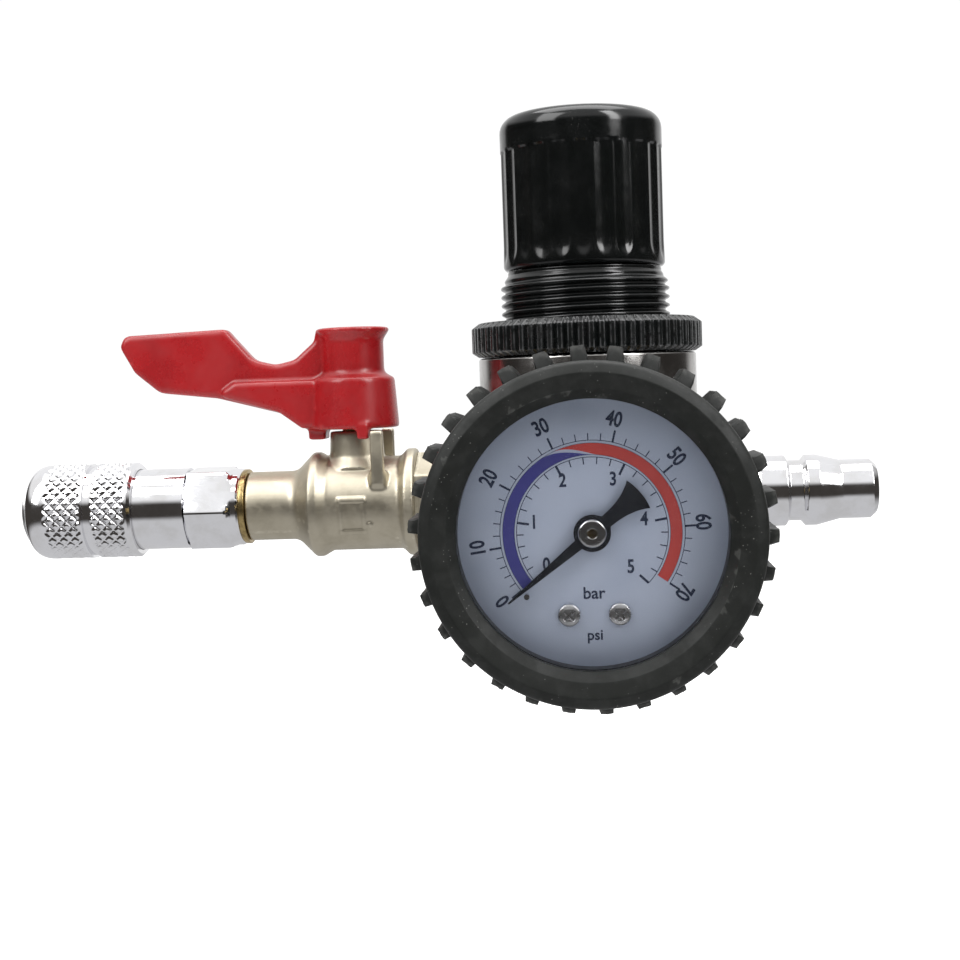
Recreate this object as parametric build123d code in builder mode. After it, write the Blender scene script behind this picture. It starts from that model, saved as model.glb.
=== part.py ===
"""Panel-mount air pressure regulator with a booted gauge, a ball valve, an outlet coupler and an inlet plug.

The frame: Z is the knob axis, and Z = 0 is the upper face of the panel nut. X is the air line,
from the outlet coupler at the low end to the inlet plug at the high end. The gauge faces -Y.
Heights called "rise" are measured up from the air line, and distances called "forward" are
measured from the knob axis towards the gauge's face.
"""

from build123d import *
from math import asin, atan2, cos, degrees, pi, radians, sin, sqrt
import os

# ---- Clearances ---------------------------------------------------------------------------------
THREAD_GAP = 0.05       # radial gap of a plain cylinder that stands for a screw thread
RUNNING_GAP = 0.05      # radial gap of a turning or sliding fit
FREE_GAP = 0.3          # gap between pieces that move past each other
SEAT_GAP = 0.05         # gap left where a moving piece rests on a flat stop

# ---- Regulator body and bonnet ------------------------------------------------------------------
PIPE_DROP = 31.5        # from the panel nut's upper face down to the air line
BODY_R = 19.35          # round upper part of the body
BODY_TOP = -6.2
BLOCK_LENGTH = 40.0     # port face to port face, along X
BLOCK_DEPTH = 39.2      # gauge port face to rear port face, along Y
BLOCK_HALF_HEIGHT = 12.0
BLOCK_CORNER_R = 9.0
FOOT_R = 13.0
BODY_UNDER_LINE = 17.5  # from the air line down to the foot
BODY_BOTTOM = -(PIPE_DROP + BODY_UNDER_LINE)
LINE_PORT_R = 6.55      # quarter-inch line ports
LINE_PORT_DEPTH = 10.2
SIDE_PORT_R = 4.85      # eighth-inch gauge ports, front and rear
SIDE_PORT_DEPTH = 9.5
SIDE_PORT_DROP = 0.8    # the gauge ports lie a little under the air line

PANEL_THREAD_R = 15.0   # M30 x 1.5
PANEL_THREAD_TOP = 6.3
PANEL_UNDERCUT = 0.6
BONNET_SHOULDER_R = 13.65
BONNET_SHOULDER_Z = 8.9
BONNET_LEAD_Z = 8.3
BONNET_NECK_R = 12.0
BONNET_TOP = 29.0
BONNET_LEDGE = 3.1
BONNET_SKIRT_R = 16.45
BONNET_SKIRT_TOP = -7.0
BONNET_BOTTOM = -17.0
SPRING_BORE_R = 9.0
SKIRT_BORE_R = 13.2
KEY_WIDTH = 4.0
KEY_SLOT_R = 10.4
NUT_R = 20.5
NUT_HEIGHT = 6.0

DIAPHRAGM_THICK = 1.2
CHAMBER_R = 12.5        # outlet chamber under the diaphragm
CHAMBER_FLOOR_RISE = 8.0
SEAT_RISE = -1.5        # valve seat, under the line so that the inlet side is below it
ORIFICE_R = 2.7
INLET_CHAMBER_R = 7.0
PLUG_THREAD_R = 8.0
PLUG_THREAD_DEPTH = 5.5

# ---- Adjusting parts ----------------------------------------------------------------------------
KNOB_R = 14.35
KNOB_BOTTOM = 9.1
KNOB_TOP = 36.2
KNOB_EDGE_R = 4.0
KNOB_SOCKET_Z = 30.2
KNOB_SOCKET_TOP = 34.9
KNOB_FLUTES = 24
FLUTE_R = 1.1
FLUTE_DEPTH = 0.45
FLUTE_BOTTOM = 11.0
FLUTE_TOP = 29.9
DRIVE_HEX = 9.5         # across flats
DRIVE_TOP = 34.4
JOURNAL_R = 5.5
FLANGE_R = 8.8
FLANGE_THICK = 2.5
THRUST_WASHER_THICK = 0.8
SCREW_R = 4.0
SCREW_END = 2.0
SPRING_SEAT_BOTTOM = 10.0
SPRING_SEAT_THICK = 5.0
PILOT_R = 5.8
PILOT_LENGTH = 2.0
MAIN_SPRING_R = 8.2
MAIN_WIRE_R = 1.1
MAIN_COILS = 6

PLATE_R = 11.5
PLATE_THICK = 2.0
PLATE_SPIGOT_R = 2.9
PLATE_SPIGOT_LENGTH = 2.0
POPPET_STEM_R = 1.5
POPPET_HEAD_R = 4.2
POPPET_HEAD_LENGTH = 3.4
POPPET_TAIL_R = 2.0
POPPET_TAIL_LENGTH = 4.5
POPPET_WIRE_R = 0.35
POPPET_SPRING_R = 3.6
PLUG_HEAD_HEX = 19.0
PLUG_HEAD_HEIGHT = 4.0
PLUG_RING_WIRE_R = 0.7
GUIDE_DEPTH = 3.0

# ---- Gauge --------------------------------------------------------------------------------------
STEM_HEX = 14.0
STEM_HEX_FROM = 22.0
STEM_HEX_TO = 33.0
STEM_NECK_R = 5.0
CASE_BACK = 36.5
CASE_R = 20.5
CASE_WALL = 0.8
CASE_RIM = 62.5
DIAL_FACE = 58.4
DIAL_THICK = 0.5
LENS_THICK = 1.5
SPACER_WALL = 0.55
BOOT_WALL = 2.45
BOOT_RING_STEP = 1.35   # ring beyond the boot's wall
BOOT_RING_R = CASE_R + BOOT_WALL + BOOT_RING_STEP
BOOT_FRONT = 65.0
BOOT_LIP = 1.5          # lip inside the case's rim
BOOT_MOUTH_R = CASE_R - BOOT_LIP
BOOT_BACK_LIP = 3.5
BOOT_BACK_MOUTH_R = CASE_R - BOOT_BACK_LIP
BOOT_BACK = 35.5
LUG_COUNT = 30
LUG_REACH = 3.75        # beyond the boot's wall
LUG_TIP_R = CASE_R + BOOT_WALL + LUG_REACH
LUG_WIDTH = 2.3
LUG_FROM = 44.0
LUG_TO = 57.0
LUG_PHASE = -2.65       # degrees from the top

POINTER_REST = 218.65   # degrees, from +X towards +Z
POINTER_LENGTH = 15.6
POINTER_TAIL = 8.9
POINTER_TAIL_HALF = 16.8
POINTER_THICK = 0.35
POINTER_BACK = 59.4
POINTER_RING_R = 2.65
HUB_R = 2.05
HUB_FRONT = 60.4
ARBOR_R = 0.6
STOP_PIN_R = 0.4
STOP_PIN_REACH = 12.95
STOP_PIN_LEAD = 4.05    # degrees past the pointer's rest
DIAL_SCREW_X = 3.6
DIAL_SCREW_RISE = -11.7
DIAL_SCREW_HEAD_R = 1.6
DIAL_SCREW_R = 0.8

GEAR_MODULE = 0.4
PINION_TEETH = 8
SECTOR_FULL_TEETH = 56
GEAR_BACK = 52.0
GEAR_THICK = 1.2
SECTOR_DIRECTION = -45.0
SECTOR_SWEEP = 36.2
MOVEMENT_BACK = 50.0
MOVEMENT_FRONT = 54.5
PLATE_GAUGE = 0.8

TUBE_RADIUS = 14.5
TUBE_HALF_THICK = 0.8
TUBE_FROM = 41.0
TUBE_TO = 46.0
TUBE_SWEEP = 250.0
TUBE_FOOT = -105.0

# ---- Ball valve ---------------------------------------------------------------------------------
VALVE_X = -42.2
VALVE_BODY_R = 8.45
VALVE_NECK_R = 6.25
VALVE_NECK_END = -62.1
LEFT_FLANGE_R = 9.5
LEFT_FLANGE_X = -49.4
RIGHT_FLANGE_R = 9.7
RIGHT_FLANGE_END = -31.2
VALVE_CAVITY_R = 6.95
VALVE_BORE_R = 3.0
VALVE_THREAD_R = 4.8    # male end into the coupler's adaptor
VALVE_THREAD_LENGTH = 9.4
BALL_R = 5.8
BALL_SEAT_OUT = 6.2
BALL_SEAT_IN = 3.8
VALVE_END_HEX = 15.6
LINE_THREAD_R = 6.5
STEM_BOSS_R = 4.75
STEM_BOSS_TOP = 13.2
STEM_R = 2.5
STEM_SQUARE = 3.6
STEM_TOP = 24.0
STEM_SEAL_R = 3.6
POST_OFFSET = 4.7       # from the stem axis towards the regulator
POST_Y = 7.7
POST_WIDTH = 2.35
POST_DEPTH = 1.6
POST_TOP = 13.3

HUB_SKIRT_R = 7.9
HUB_SKIRT_BOTTOM = 13.65
HUB_RIDGE_RISE = 22.6
HUB_RIDGE_R = 7.3
HUB_WAIST_R = 5.5
HUB_TOP = 31.8
HUB_LIP_R = 6.6
HUB_LIP_THICK = 0.6
NOTCH_REACH = 14.2
NOTCH_R = 7.0
NOTCH_RISE = 32.6
BLADE_REACH = 42.7
BLADE_THICK = 4.2
BLADE_TOP = 32.4
SCREW_POCKET_R = 3.4
SCREW_POCKET_DEPTH = 4.0
STOP_TAB_DEPTH = 2.2

# ---- Outlet coupler -----------------------------------------------------------------------------
WASHER_R = 6.8
WASHER_THICK = 1.1
ADAPTOR_HEX = 14.0
ADAPTOR_HEX_FROM = -73.1
ADAPTOR_HEX_TO = -64.8
ADAPTOR_COLLAR_R = 7.0
ADAPTOR_THREAD_R = 5.4
ADAPTOR_THREAD_LENGTH = 4.4
COUPLER_R = 7.35
COUPLER_STEP_X = -84.0
SPIGOT_R = 5.5
MOUTH_X = -103.3
MOUTH_R = 3.9
MOUTH_DEPTH = 5.5
THROAT_R = 3.45
CHAMBER_BORE_R = 4.4
CHAMBER_FROM = -91.0
LOCK_BALL_R = 1.25
LOCK_BALL_X = -95.5
LOCK_BALL_REACH = 4.2
LOCK_BALLS = 4
SLEEVE_R = 8.65
SLEEVE_FROM = -102.3
SLEEVE_SHOULDER = -99.0
SLEEVE_TO = -82.5
SLEEVE_TIP_R = 6.3
SLEEVE_GROOVE_X = -90.6
SLEEVE_GROOVE_WIDTH = 1.4
SLEEVE_GROOVE_DEPTH = 0.5
RELEASE_R = 6.3
RELEASE_FROM = -101.2
RELEASE_TO = -98.2
SPRING_ROOM_FROM = -93.5
SLEEVE_TRAVEL = 4.5
SLEEVE_WIRE_R = 0.4
RING_WIDTH = 0.45

# ---- Inlet plug ---------------------------------------------------------------------------------
PLUG_HEX = 14.0
PLUG_HEX_GAP = 0.2      # from the port's face
PLUG_HEX_LENGTH = 9.4
PLUG_HEX_FROM = BLOCK_LENGTH / 2 + PLUG_HEX_GAP
PLUG_HEX_TO = PLUG_HEX_FROM + PLUG_HEX_LENGTH
PLUG_BASE_R = 6.3
PLUG_GROOVE_R = 5.4
PLUG_NOSE_R = 5.25
PLUG_BORE_R = 3.2
PLUG_PROFILE_LENGTH = 20.7  # from the hexagon to the end
PLUG_END = PLUG_HEX_TO + PLUG_PROFILE_LENGTH

# ---- Derived places -----------------------------------------------------------------------------
PIPE_Z = -PIPE_DROP
GAUGE_Z = PIPE_Z - SIDE_PORT_DROP
DIAPHRAGM_TOP = BONNET_BOTTOM
DIAPHRAGM_BOTTOM = DIAPHRAGM_TOP - DIAPHRAGM_THICK
SEAT_Z = PIPE_Z + SEAT_RISE
CHAMBER_FLOOR_Z = PIPE_Z + CHAMBER_FLOOR_RISE
BODY_FACE = BLOCK_DEPTH / 2
CASE_IN_R = CASE_R - CASE_WALL
LENS_BACK = CASE_RIM - 0.1 - LENS_THICK
PORT_X = BLOCK_LENGTH / 2
LEDGE_Z = BONNET_TOP - BONNET_LEDGE

PIPE_AXIS = Axis((0, 0, PIPE_Z), (1, 0, 0))
GAUGE_AXIS = Axis((0, 0, GAUGE_Z), (0, -1, 0))
PIPE_SIDE = Plane(origin=(0, 0, PIPE_Z), x_dir=(1, 0, 0), z_dir=(0, -1, 0))
GAUGE_SIDE = Plane(origin=(0, 0, GAUGE_Z), x_dir=(0, -1, 0), z_dir=(-1, 0, 0))
STEM_SIDE = Plane(origin=(VALVE_X, 0, PIPE_Z), x_dir=(1, 0, 0), z_dir=(0, -1, 0))
STEM_AXIS = Axis((VALVE_X, 0, PIPE_Z), (0, 0, 1))

os.makedirs("parts", exist_ok=True)


# ---- Helpers ------------------------------------------------------------------------------------
def keep(piece, name):
    """Label a finished piece and write it."""
    piece.label = name
    export_step(piece, f"parts/{name}.step")


def across_pipe(x):
    """A plane square to the air line at x, whose local X is world Y and local Y is world Z."""
    return Plane(origin=(x, 0, PIPE_Z), x_dir=(0, 1, 0), z_dir=(1, 0, 0))


def across_gauge(forward):
    """A plane parallel to the dial, whose local X is world X and local Y is world Z."""
    return Plane(origin=(0, -forward, GAUGE_Z), x_dir=(1, 0, 0), z_dir=(0, -1, 0))


def turned(side, points, axis):
    """A solid of revolution from a closed outline of (along, radius) or (radius, up) points."""
    with BuildPart() as lathe:
        with BuildSketch(side):
            with BuildLine():
                Polyline(*points, close=True)
            make_face()
        revolve(axis=axis)
    return lathe.part


def upright(points):
    """A turned piece on the knob axis, from (radius, height) points."""
    return turned(Plane.XZ, points, Axis.Z)


def on_pipe(points):
    """A turned piece on the air line, from (x, radius) points."""
    return turned(PIPE_SIDE, points, PIPE_AXIS)


def on_gauge(points):
    """A turned piece on the gauge axis, from (forward, radius) points."""
    return turned(GAUGE_SIDE, points, GAUGE_AXIS)


def ring(side, axis, along, mid_r, wire_r):
    """A rubber ring of round section; along runs along the axis of the side plane's local X."""
    with BuildPart() as seal:
        with BuildSketch(side):
            with Locations((along, mid_r)):
                Circle(wire_r)
        revolve(axis=axis)
    return seal.part


def coil(start, direction, length, mid_r, wire_r, turns):
    """A helical spring that fills length from start, its wire inside both end planes."""
    lean = 1.02 * wire_r
    base = Vector(*start) + Vector(*direction) * lean
    free = length - 2 * lean
    with BuildPart() as spring:
        with BuildLine() as path:
            Helix(pitch=free / turns, height=free, radius=mid_r, center=base, direction=direction)
        with BuildSketch(Plane(path.line @ 0, z_dir=path.line % 0)):
            Circle(wire_r)
        sweep(is_frenet=True)
    return spring.part


def hexagon(flats):
    """A regular hexagon in the current sketch, by its size across flats."""
    return RegularPolygon(flats / 2, 6, major_radius=False)


# ---- Regulator body -----------------------------------------------------------------------------
with BuildPart() as regulator_body:
    with BuildSketch(Plane.XY.offset(PIPE_Z - BLOCK_HALF_HEIGHT)):
        RectangleRounded(BLOCK_LENGTH, BLOCK_DEPTH, BLOCK_CORNER_R)
    extrude(amount=2 * BLOCK_HALF_HEIGHT)
    with BuildSketch(Plane.XY.offset(PIPE_Z)):
        Circle(BODY_R)
    extrude(amount=BODY_TOP - PIPE_Z)
    with BuildSketch(Plane.XY.offset(BODY_BOTTOM)):
        Circle(FOOT_R)
    extrude(amount=PIPE_Z - BODY_BOTTOM)
    # the bonnet's thread, down to the ledge that carries the diaphragm
    with BuildSketch(Plane.XY.offset(DIAPHRAGM_BOTTOM)):
        Circle(BONNET_SKIRT_R + THREAD_GAP)
    extrude(amount=BODY_TOP - DIAPHRAGM_BOTTOM, mode=Mode.SUBTRACT)
    # outlet chamber, orifice, inlet chamber and the bottom plug's thread
    with BuildSketch(Plane.XY.offset(CHAMBER_FLOOR_Z)):
        Circle(CHAMBER_R)
    extrude(amount=DIAPHRAGM_BOTTOM - CHAMBER_FLOOR_Z, mode=Mode.SUBTRACT)
    with BuildSketch(Plane.XY.offset(SEAT_Z)):
        Circle(ORIFICE_R)
    extrude(amount=CHAMBER_FLOOR_Z - SEAT_Z, mode=Mode.SUBTRACT)
    with BuildSketch(Plane.XY.offset(BODY_BOTTOM)):
        Circle(INLET_CHAMBER_R)
    extrude(amount=SEAT_Z - BODY_BOTTOM, mode=Mode.SUBTRACT)
    with BuildSketch(Plane.XY.offset(BODY_BOTTOM)):
        Circle(PLUG_THREAD_R)
    extrude(amount=PLUG_THREAD_DEPTH, mode=Mode.SUBTRACT)
    # line ports, left for the outlet and right for the inlet
    for side in (-1, 1):
        with BuildSketch(across_pipe(side * PORT_X)):
            Circle(LINE_PORT_R)
        extrude(amount=-side * LINE_PORT_DEPTH, mode=Mode.SUBTRACT)
    with BuildSketch(across_pipe(PORT_X - LINE_PORT_DEPTH)):
        with Locations((0, -4)):
            Circle(2.2)
    extrude(amount=-(PORT_X - LINE_PORT_DEPTH - INLET_CHAMBER_R / 2), mode=Mode.SUBTRACT)
    with BuildSketch(Plane.XY.offset(PIPE_Z)):
        with Locations((-CHAMBER_R + 1.2, 0)):
            Circle(2)
    extrude(amount=CHAMBER_FLOOR_RISE, mode=Mode.SUBTRACT)
    # gauge ports, front and rear, each with a drilling up to the outlet chamber
    for side in (-1, 1):
        with BuildSketch(across_gauge(side * BODY_FACE)):
            Circle(SIDE_PORT_R)
        extrude(amount=-side * SIDE_PORT_DEPTH, mode=Mode.SUBTRACT)
        with BuildSketch(Plane.XY.offset(GAUGE_Z)):
            with Locations((0, side * (CHAMBER_R - 1.4))):
                Circle(1)
        extrude(amount=CHAMBER_FLOOR_Z - GAUGE_Z, mode=Mode.SUBTRACT)
keep(regulator_body.part, "regulator_body")

with BuildPart() as bonnet:
    with BuildSketch(Plane.XZ):
        with BuildLine():
            Polyline(
                (SKIRT_BORE_R, BONNET_BOTTOM),
                (BONNET_SKIRT_R, BONNET_BOTTOM),
                (BONNET_SKIRT_R, BONNET_SKIRT_TOP),
                (PANEL_THREAD_R, BONNET_SKIRT_TOP),
                (PANEL_THREAD_R, -PANEL_UNDERCUT),
                (PANEL_THREAD_R - 0.9, -PANEL_UNDERCUT),
                (PANEL_THREAD_R - 0.9, 0),
                (PANEL_THREAD_R, 0),
                (PANEL_THREAD_R, PANEL_THREAD_TOP),
                (BONNET_SHOULDER_R, BONNET_LEAD_Z),
                (BONNET_SHOULDER_R, BONNET_SHOULDER_Z),
                (BONNET_NECK_R, BONNET_SHOULDER_Z),
                (BONNET_NECK_R, BONNET_TOP),
                (JOURNAL_R + RUNNING_GAP, BONNET_TOP),
                (JOURNAL_R + RUNNING_GAP, LEDGE_Z),
                (SPRING_BORE_R, LEDGE_Z),
                (SPRING_BORE_R, BONNET_BOTTOM + 9),
                (SKIRT_BORE_R, BONNET_BOTTOM + 5),
                close=True,
            )
        make_face()
    revolve(axis=Axis.Z)
    # two slots that keep the spring seat from turning
    with BuildSketch(Plane.XY.offset(BONNET_BOTTOM)):
        Rectangle(2 * KEY_SLOT_R, KEY_WIDTH)
    extrude(amount=SPRING_SEAT_BOTTOM + SPRING_SEAT_THICK + 0.5 - BONNET_BOTTOM, mode=Mode.SUBTRACT)
keep(bonnet.part, "bonnet")

with BuildPart() as panel_nut:
    with BuildSketch(Plane.XY.offset(-NUT_HEIGHT)):
        Circle(NUT_R)
        Circle(PANEL_THREAD_R + THREAD_GAP, mode=Mode.SUBTRACT)
    extrude(amount=NUT_HEIGHT)
    outer_rims = panel_nut.edges().filter_by(GeomType.CIRCLE).sort_by(SortBy.RADIUS)[-2:]
    chamfer(outer_rims, 0.5)
keep(panel_nut.part, "panel_nut")

# ---- Knob, screw, spring seat and springs -------------------------------------------------------
with BuildPart() as adjusting_knob:
    with BuildSketch(Plane.XZ):
        with BuildLine():
            Polyline(
                (0, KNOB_TOP),
                (KNOB_R, KNOB_TOP),
                (KNOB_R, KNOB_BOTTOM),
                (BONNET_NECK_R + FREE_GAP, KNOB_BOTTOM),
                (BONNET_NECK_R + FREE_GAP, KNOB_SOCKET_Z),
                (0, KNOB_SOCKET_Z),
                close=True,
            )
        make_face()
    revolve(axis=Axis.Z)
    rims = adjusting_knob.edges().filter_by(GeomType.CIRCLE)
    fillet(rims.group_by(Axis.Z)[-1], KNOB_EDGE_R)
    lower_rim = adjusting_knob.edges().filter_by(GeomType.CIRCLE).group_by(Axis.Z)[0]
    fillet(lower_rim.sort_by(SortBy.RADIUS)[-1], 0.8)
    with BuildSketch(Plane.XY.offset(KNOB_SOCKET_Z)):
        hexagon(DRIVE_HEX + 2 * RUNNING_GAP)
    extrude(amount=KNOB_SOCKET_TOP - KNOB_SOCKET_Z, mode=Mode.SUBTRACT)
    with BuildSketch(Plane.XY.offset(FLUTE_BOTTOM)):
        with PolarLocations(KNOB_R + FLUTE_R - FLUTE_DEPTH, KNOB_FLUTES):
            Circle(FLUTE_R)
    extrude(amount=FLUTE_TOP - FLUTE_BOTTOM, mode=Mode.SUBTRACT)
keep(adjusting_knob.part, "adjusting_knob")

flange_top = LEDGE_Z - THRUST_WASHER_THICK - SEAT_GAP
with BuildPart() as adjusting_screw:
    with BuildSketch(Plane.XY.offset(SCREW_END)):
        Circle(SCREW_R)
    extrude(amount=flange_top - SCREW_END)
    with BuildSketch(Plane.XY.offset(flange_top - FLANGE_THICK)):
        Circle(FLANGE_R)
    extrude(amount=FLANGE_THICK)
    with BuildSketch(Plane.XY.offset(flange_top)):
        Circle(JOURNAL_R)
    extrude(amount=BONNET_TOP + 0.2 - flange_top)
    with BuildSketch(Plane.XY.offset(BONNET_TOP + 0.2)):
        hexagon(DRIVE_HEX)
    extrude(amount=DRIVE_TOP - BONNET_TOP - 0.2)
keep(adjusting_screw.part, "adjusting_screw")

with BuildPart() as thrust_washer:
    with BuildSketch(Plane.XY.offset(LEDGE_Z - THRUST_WASHER_THICK)):
        Circle(FLANGE_R)
        Circle(JOURNAL_R + 0.2, mode=Mode.SUBTRACT)
    extrude(amount=THRUST_WASHER_THICK)
keep(thrust_washer.part, "thrust_washer")

with BuildPart() as spring_seat:
    with BuildSketch(Plane.XY.offset(SPRING_SEAT_BOTTOM)):
        Circle(SPRING_BORE_R - 0.1)
        Rectangle(2 * (KEY_SLOT_R - 0.1), KEY_WIDTH - 0.2)
    extrude(amount=SPRING_SEAT_THICK)
    with BuildSketch(Plane.XY.offset(SPRING_SEAT_BOTTOM - PILOT_LENGTH)):
        Circle(PILOT_R)
    extrude(amount=PILOT_LENGTH)
    with BuildSketch(Plane.XY.offset(SPRING_SEAT_BOTTOM - PILOT_LENGTH)):
        Circle(SCREW_R + THREAD_GAP)
    extrude(amount=SPRING_SEAT_THICK + PILOT_LENGTH, mode=Mode.SUBTRACT)
keep(spring_seat.part, "spring_seat")

plate_top = DIAPHRAGM_TOP + PLATE_THICK
main_spring = coil(
    (0, 0, plate_top), (0, 0, 1), SPRING_SEAT_BOTTOM - plate_top,
    MAIN_SPRING_R - MAIN_WIRE_R, MAIN_WIRE_R, MAIN_COILS,
)
keep(main_spring, "main_spring")

# ---- Diaphragm, plate, poppet and bottom plug ---------------------------------------------------
with BuildPart() as diaphragm:
    with BuildSketch(Plane.XY.offset(DIAPHRAGM_BOTTOM)):
        Circle(BONNET_SKIRT_R)
        Circle(PLATE_SPIGOT_R, mode=Mode.SUBTRACT)
    extrude(amount=DIAPHRAGM_THICK)
keep(diaphragm.part, "diaphragm")

spigot_bottom = DIAPHRAGM_TOP - PLATE_SPIGOT_LENGTH
with BuildPart() as diaphragm_plate:
    with BuildSketch(Plane.XY.offset(DIAPHRAGM_TOP)):
        Circle(PLATE_R)
    extrude(amount=PLATE_THICK)
    with BuildSketch(Plane.XY.offset(plate_top)):
        Circle(PILOT_R)
    extrude(amount=PILOT_LENGTH)
    with BuildSketch(Plane.XY.offset(spigot_bottom)):
        Circle(PLATE_SPIGOT_R)
    extrude(amount=PLATE_SPIGOT_LENGTH)
keep(diaphragm_plate.part, "diaphragm_plate")

head_top = SEAT_Z - SEAT_GAP
head_bottom = head_top - POPPET_HEAD_LENGTH
tail_end = head_bottom - POPPET_TAIL_LENGTH
poppet = upright([
    (0, spigot_bottom), (POPPET_STEM_R, spigot_bottom), (POPPET_STEM_R, head_top),
    (POPPET_HEAD_R, head_top), (POPPET_HEAD_R, head_bottom), (POPPET_TAIL_R, head_bottom),
    (POPPET_TAIL_R, tail_end), (0, tail_end),
])
keep(poppet, "poppet")

plug_face = BODY_BOTTOM + PLUG_THREAD_DEPTH
guide_top = plug_face + 2
ring_gap = 2 * PLUG_RING_WIRE_R
with BuildPart() as bottom_plug:
    with BuildSketch(Plane.XY.offset(BODY_BOTTOM - ring_gap)):
        Circle(PLUG_THREAD_R - THREAD_GAP)
    extrude(amount=PLUG_THREAD_DEPTH + ring_gap)
    with BuildSketch(Plane.XY.offset(BODY_BOTTOM - ring_gap - PLUG_HEAD_HEIGHT)):
        hexagon(PLUG_HEAD_HEX)
    extrude(amount=PLUG_HEAD_HEIGHT)
    with BuildSketch(Plane.XY.offset(plug_face)):
        Circle(POPPET_SPRING_R - 2 * POPPET_WIRE_R - 0.1)
    extrude(amount=guide_top - plug_face)
    with BuildSketch(Plane.XY.offset(tail_end - GUIDE_DEPTH)):
        Circle(POPPET_TAIL_R + RUNNING_GAP)
    extrude(amount=guide_top - tail_end + GUIDE_DEPTH, mode=Mode.SUBTRACT)
keep(bottom_plug.part, "bottom_plug")

with BuildPart() as bottom_ring:
    with BuildSketch(Plane.XZ):
        with Locations((PLUG_THREAD_R + PLUG_RING_WIRE_R + 0.05, BODY_BOTTOM - PLUG_RING_WIRE_R)):
            Circle(PLUG_RING_WIRE_R)
    revolve(axis=Axis.Z)
keep(bottom_ring.part, "bottom_ring")

poppet_spring = coil(
    (0, 0, plug_face), (0, 0, 1), head_bottom - plug_face,
    POPPET_SPRING_R - POPPET_WIRE_R, POPPET_WIRE_R, 4,
)
keep(poppet_spring, "poppet_spring")

with BuildPart() as rear_port_plug:
    with BuildSketch(across_gauge(-BODY_FACE)):
        Circle(SIDE_PORT_R - THREAD_GAP)
    extrude(amount=7)
    with BuildSketch(across_gauge(-BODY_FACE)):
        hexagon(5)
    extrude(amount=3.5, mode=Mode.SUBTRACT)
keep(rear_port_plug.part, "rear_port_plug")

# ---- Inlet plug ---------------------------------------------------------------------------------
with BuildPart() as inlet_plug:
    with BuildSketch(PIPE_SIDE):
        with BuildLine():
            Polyline(
                (PORT_X - LINE_PORT_DEPTH + 0.5, PLUG_BORE_R),
                (PORT_X - LINE_PORT_DEPTH + 0.5, LINE_THREAD_R),
                (PLUG_HEX_FROM, LINE_THREAD_R),
                (PLUG_HEX_FROM, PLUG_HEX / 2),
                (PLUG_HEX_TO, PLUG_HEX / 2),
                (PLUG_HEX_TO, PLUG_BASE_R),
                (PLUG_HEX_TO + 4.9, PLUG_BASE_R),
                (PLUG_HEX_TO + 5.3, PLUG_GROOVE_R),
                (PLUG_HEX_TO + 7.6, PLUG_GROOVE_R),
                (PLUG_HEX_TO + 8.3, PLUG_BASE_R),
                (PLUG_HEX_TO + 10.3, PLUG_BASE_R),
                (PLUG_HEX_TO + 14.4, PLUG_NOSE_R),
                (PLUG_END - 1, PLUG_NOSE_R),
                (PLUG_END, PLUG_NOSE_R - 0.9),
                (PLUG_END, PLUG_BORE_R),
                close=True,
            )
        make_face()
    revolve(axis=PIPE_AXIS)
    with BuildSketch(across_pipe(PLUG_HEX_FROM)):
        hexagon(PLUG_HEX)
        Circle(PLUG_BASE_R, mode=Mode.SUBTRACT)
    extrude(amount=PLUG_HEX_TO - PLUG_HEX_FROM)
keep(inlet_plug.part, "inlet_plug")

# ---- Gauge: stem, case, lens, boot --------------------------------------------------------------
with BuildPart() as gauge_stem:
    with BuildSketch(across_gauge(BODY_FACE - SIDE_PORT_DEPTH + 0.5)):
        Circle(SIDE_PORT_R - THREAD_GAP)
    extrude(amount=STEM_HEX_FROM - BODY_FACE + SIDE_PORT_DEPTH - 0.5)
    with BuildSketch(across_gauge(STEM_HEX_FROM)):
        hexagon(STEM_HEX)
    extrude(amount=STEM_HEX_TO - STEM_HEX_FROM)
    with BuildSketch(across_gauge(STEM_HEX_TO)):
        Circle(STEM_NECK_R + 1.2)
    extrude(amount=CASE_BACK - STEM_HEX_TO)
    with BuildSketch(across_gauge(CASE_BACK)):
        Circle(STEM_NECK_R)
    extrude(amount=1.3)
    with BuildSketch(across_gauge(CASE_BACK + 1.3)):
        with Locations((0, -4)):
            Rectangle(10, 16)
        with Locations((-2.5, -14)):
            Rectangle(5, 4)
    extrude(amount=TUBE_TO + 0.5 - CASE_BACK - 1.3)
    with BuildSketch(across_gauge(TUBE_TO + 0.5)):
        with Locations((0, -9)):
            Rectangle(10, 6)
    extrude(amount=MOVEMENT_BACK - TUBE_TO - 0.5)
    with BuildSketch(across_gauge(BODY_FACE - SIDE_PORT_DEPTH + 0.5)):
        Circle(1.5)
    extrude(amount=33, mode=Mode.SUBTRACT)
keep(gauge_stem.part, "gauge_stem")

gauge_case = on_gauge([
    (CASE_BACK, STEM_NECK_R + 0.05), (CASE_BACK, CASE_R), (CASE_RIM, CASE_R),
    (CASE_RIM, CASE_IN_R), (CASE_BACK + 1.2, CASE_IN_R), (CASE_BACK + 1.2, STEM_NECK_R + 0.05),
])
keep(gauge_case, "gauge_case")

with BuildPart() as gauge_lens:
    with BuildSketch(across_gauge(LENS_BACK)):
        Circle(CASE_IN_R - 0.05)
    extrude(amount=LENS_THICK)
keep(gauge_lens.part, "gauge_lens")

with BuildPart() as lens_spacer:
    with BuildSketch(across_gauge(DIAL_FACE)):
        Circle(CASE_IN_R - 0.05)
        Circle(CASE_IN_R - SPACER_WALL, mode=Mode.SUBTRACT)
    extrude(amount=LENS_BACK - DIAL_FACE)
keep(lens_spacer.part, "lens_spacer")

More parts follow.
